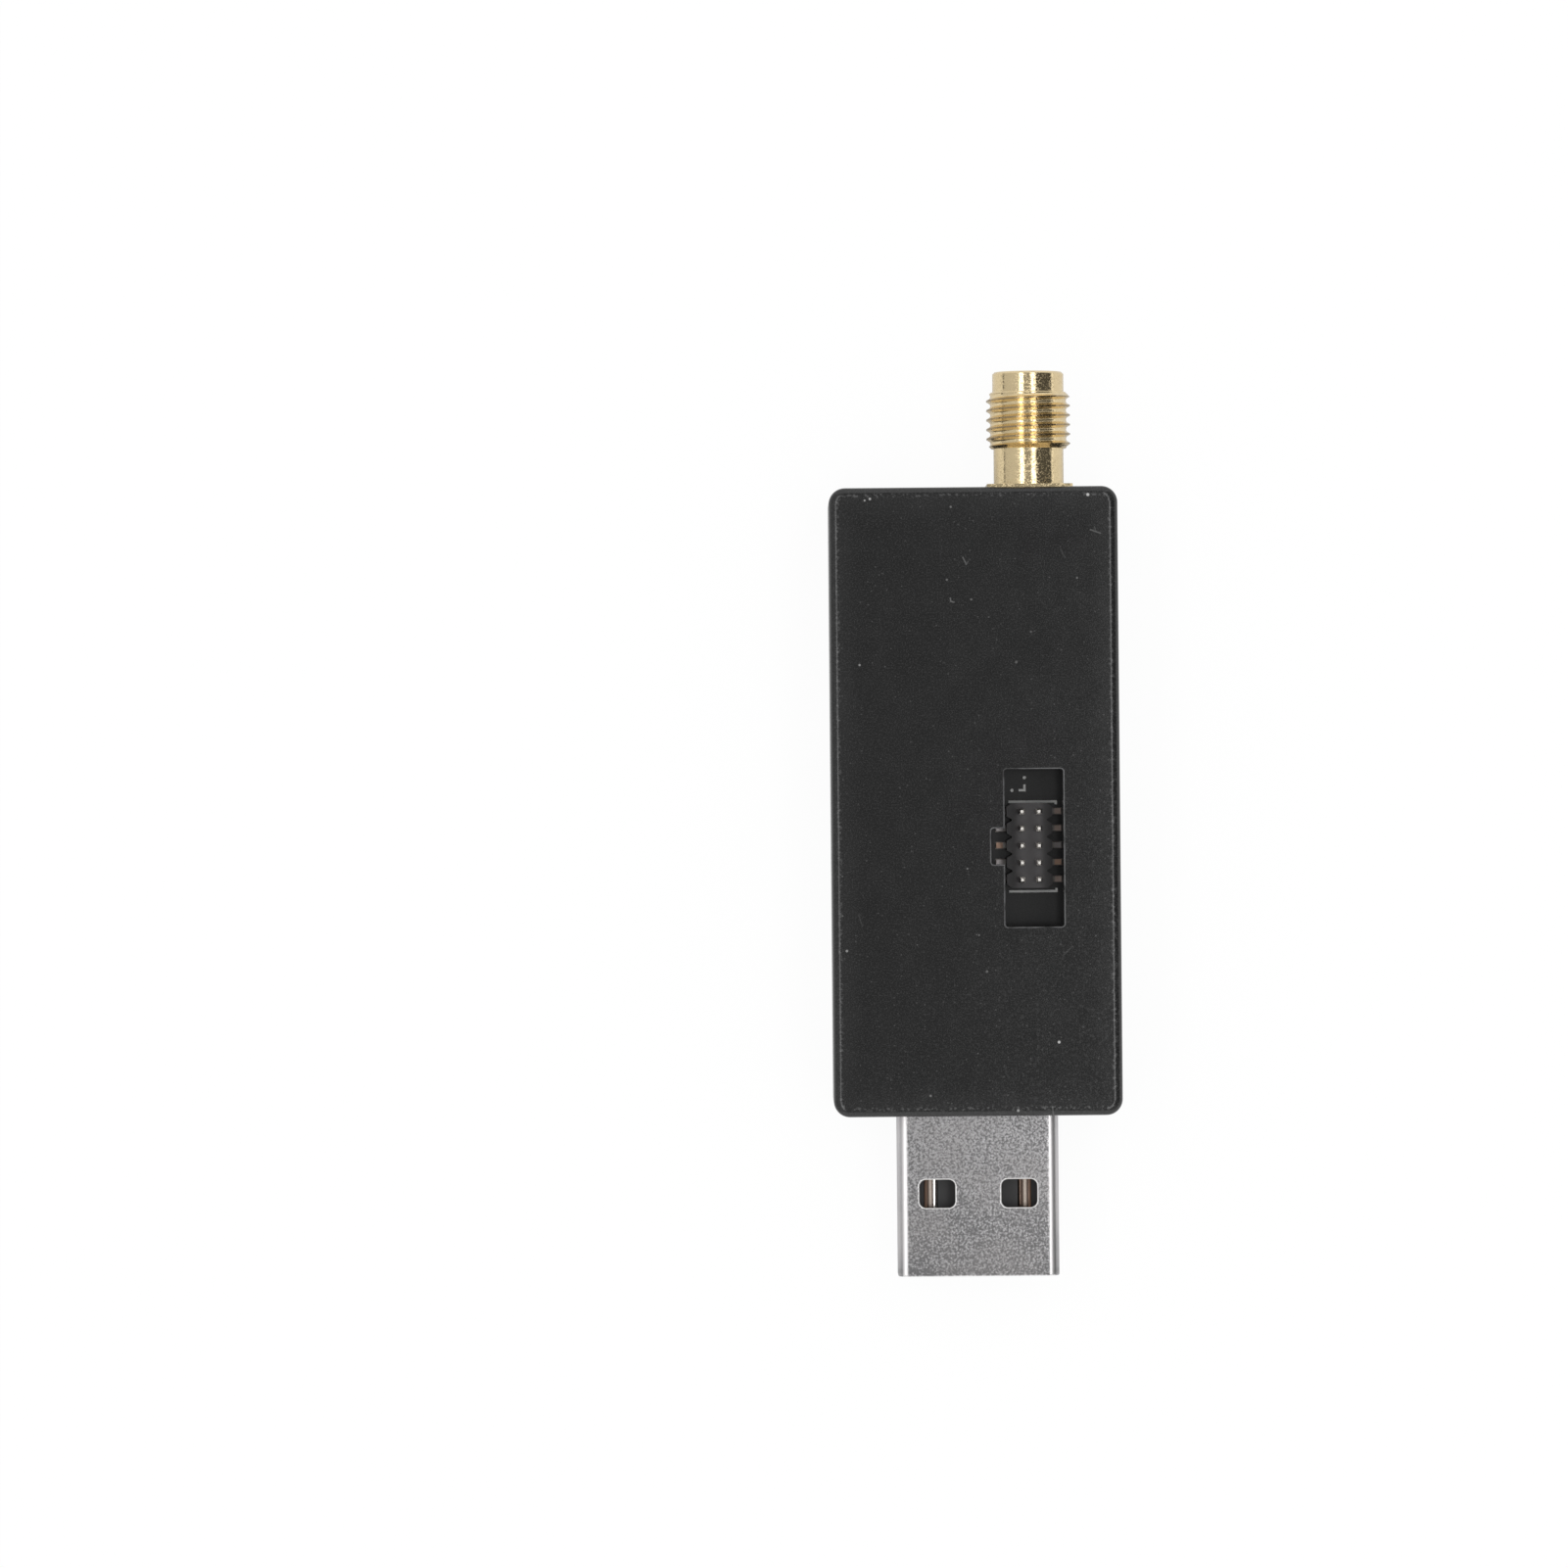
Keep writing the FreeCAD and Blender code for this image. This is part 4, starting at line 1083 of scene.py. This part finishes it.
def add_floor(look):
    """A white floor that shows as white, and keeps a faint shadow under the stick."""
    half = look.floor_size / 2
    mesh = bpy.data.meshes.new("floor")
    corners = [(-half, -half, 0), (half, -half, 0), (half, half, 0), (-half, half, 0)]
    mesh.from_pydata(corners, [], [(0, 1, 2, 3)])
    floor = linked("floor", mesh)
    r = Recipe("floor_white")
    paper = r.noise(0.02)
    r.finish(base_color=r.mix(paper, (0.66, 0.66, 0.66), (0.70, 0.70, 0.70)), roughness=0.9)
    lit = Socket(r, r.shader.outputs[0])
    glow = r.node("ShaderNodeEmission", inputs={"Strength": look.floor_glow})
    share = background_share(r, camera=0.92, gloss=0.20)
    mesh.materials.append(r.show(r.node("ShaderNodeMixShader", inputs={0: share, 1: lit, 2: glow})))
    floor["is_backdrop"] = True


def add_panel(name, start, end, radiance, radius=0.75, half_length=0.9):
    """A studio panel that only gloss shows: a strip of a tunnel round the stick, from one angle
    off the vertical to another, in degrees, with the right side positive. At an angle a it
    stands at x = r sin a, z = r cos a."""
    angle = np.radians(np.linspace(start, end, 25))[:, None]
    along = np.array([-half_length, half_length])[None, :]
    points = np.stack((radius * np.sin(angle) + 0 * along, along + 0 * angle,
                       radius * np.cos(angle) + 0 * along), axis=-1)
    row = np.arange(len(angle) - 1) * 2
    faces = np.stack((row, row + 1, row + 3, row + 2), axis=-1).tolist()
    mesh = bpy.data.meshes.new(name)
    mesh.from_pydata(points.reshape(-1, 3).tolist(), [], faces)
    panel = linked(name, mesh)
    r = Recipe(name)
    mesh.materials.append(r.show(r.node("ShaderNodeEmission", inputs={"Strength": radiance})))
    for ray in ("camera", "diffuse", "transmission", "shadow", "volume_scatter"):
        setattr(panel, "visible_" + ray, False)
    panel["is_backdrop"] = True


def add_strip(look, name, start, end):
    """A strip light along the stick, from one angle off the vertical to another."""
    near, far = (look.lamp_height * math.tan(math.radians(angle)) for angle in (start, end))
    lamp = bpy.data.lights.new(name, "AREA")
    lamp.shape = "RECTANGLE"
    place = Vector(((near + far) / 2, 0.0, look.lamp_height))
    lamp.size = abs(far - near) * math.cos(math.atan2(abs(place.x), place.z))
    lamp.size_y = look.lamp_length
    lamp.energy = look.lamp_radiance * math.pi * lamp.size * lamp.size_y
    strip = linked(name, lamp)
    strip.location = place
    strip.rotation_euler = (0.0, math.atan2(place.x, place.z), 0.0)
    strip.visible_camera = False


def add_overhead_lamp(look):
    """A square lamp over the stick: it lights the board through the window, and no gloss shows
    it."""
    lamp = bpy.data.lights.new("overhead_lamp", "AREA")
    lamp.shape = "SQUARE"
    lamp.size = look.overhead_size
    lamp.energy = look.overhead_radiance * math.pi * lamp.size ** 2
    square = linked("overhead_lamp", lamp)
    square.location = (0.0, 0.0, look.lamp_height)
    square.visible_camera = False
    square.visible_glossy = False


def add_world(look):
    """Soft light from all round, with a white background behind the stick."""
    world = bpy.data.worlds.new("studio")
    bpy.context.scene.world = world
    world.use_nodes = True
    writer = NodeWriter(world.node_tree)
    share = background_share(writer, camera=1.0, gloss=1.0)
    level = writer.mix(share, (look.world,) * 3, (1.0, 1.0, 1.0))
    writer.feed(world.node_tree.nodes["Background"].inputs["Color"], level)


def add_camera(look):
    """The camera of the photograph: straight above the table, the stick to its right, and the
    picture turned a little."""
    lens = bpy.data.cameras.new("camera")
    lens.sensor_width = 36.0
    lens.lens = lens.sensor_width * look.camera_distance / look.view_width
    camera = linked("camera", lens)
    camera.location = (look.camera_x, look.camera_y, CASE_HIGH.z + look.camera_distance)
    camera.rotation_euler = (0.0, 0.0, look.camera_turn)
    bpy.context.scene.camera = camera


class SetStudio(bpy.types.Operator):
    """Sets the floor, the lights, the panels and the camera"""

    bl_idname = "radio_stick.set_studio"
    bl_label = "Studio"

    def execute(self, context):
        look = context.scene.radio_stick_studio
        add_floor(look)
        add_strip(look, "left_strip", start=-28.0, end=-16.0)
        add_strip(look, "right_strip", start=9.0, end=22.0)
        add_overhead_lamp(look)
        add_panel("left_gap", start=-91.0, end=-86.0, radiance=0.06)
        add_panel("left_panel", start=-86.0, end=-22.0, radiance=0.58)
        add_panel("overhead_panel", start=-22.0, end=15.5, radiance=0.32)
        add_panel("right_panel", start=15.5, end=80.0, radiance=0.075, half_length=0.26)
        add_panel("outer_right_panel", start=15.5, end=80.0, radiance=0.30, radius=0.76)
        add_world(look)
        add_camera(look)
        context.scene.view_settings.view_transform = "Standard"
        return {"FINISHED"}


STEPS = (DressCase, DressPlug, CutJack, DressHeader, DressBoard, DressBoardParts, SetStudio)


class StickPanel(bpy.types.Panel):
    """The stick's steps and looks"""

    bl_idname = "VIEW3D_PT_radio_stick"
    bl_label = "Radio stick"
    bl_space_type = "VIEW_3D"
    bl_region_type = "UI"
    bl_category = "Radio stick"

    def draw(self, context):
        for step in STEPS:
            self.layout.operator(step.bl_idname)
        for name in LOOKS:
            look = getattr(context.scene, name)
            box = self.layout.box()
            box.label(text=name.replace("_", " ").capitalize())
            for field in look.bl_rna.properties:
                if field.identifier not in ("rna_type", "name"):
                    box.prop(look, field.identifier)


CLASSES = (*LOOKS.values(), *STEPS, StickPanel)


def register():
    for part in CLASSES:
        bpy.utils.register_class(part)
    for name, look in LOOKS.items():
        setattr(bpy.types.Scene, name, PointerProperty(type=look))


def unregister():
    for name in LOOKS:
        delattr(bpy.types.Scene, name)
    for part in reversed(CLASSES):
        bpy.utils.unregister_class(part)


def main():
    register()
    for step in STEPS:
        group, name = step.bl_idname.split(".")
        getattr(getattr(bpy.ops, group), name)()
    sizes = {"cad": CAD_BOUNDS, "scene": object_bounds()}
    sizes = {name: [list(corner) for corner in bounds] for name, bounds in sizes.items()}


if __name__ == "__main__":
    main()
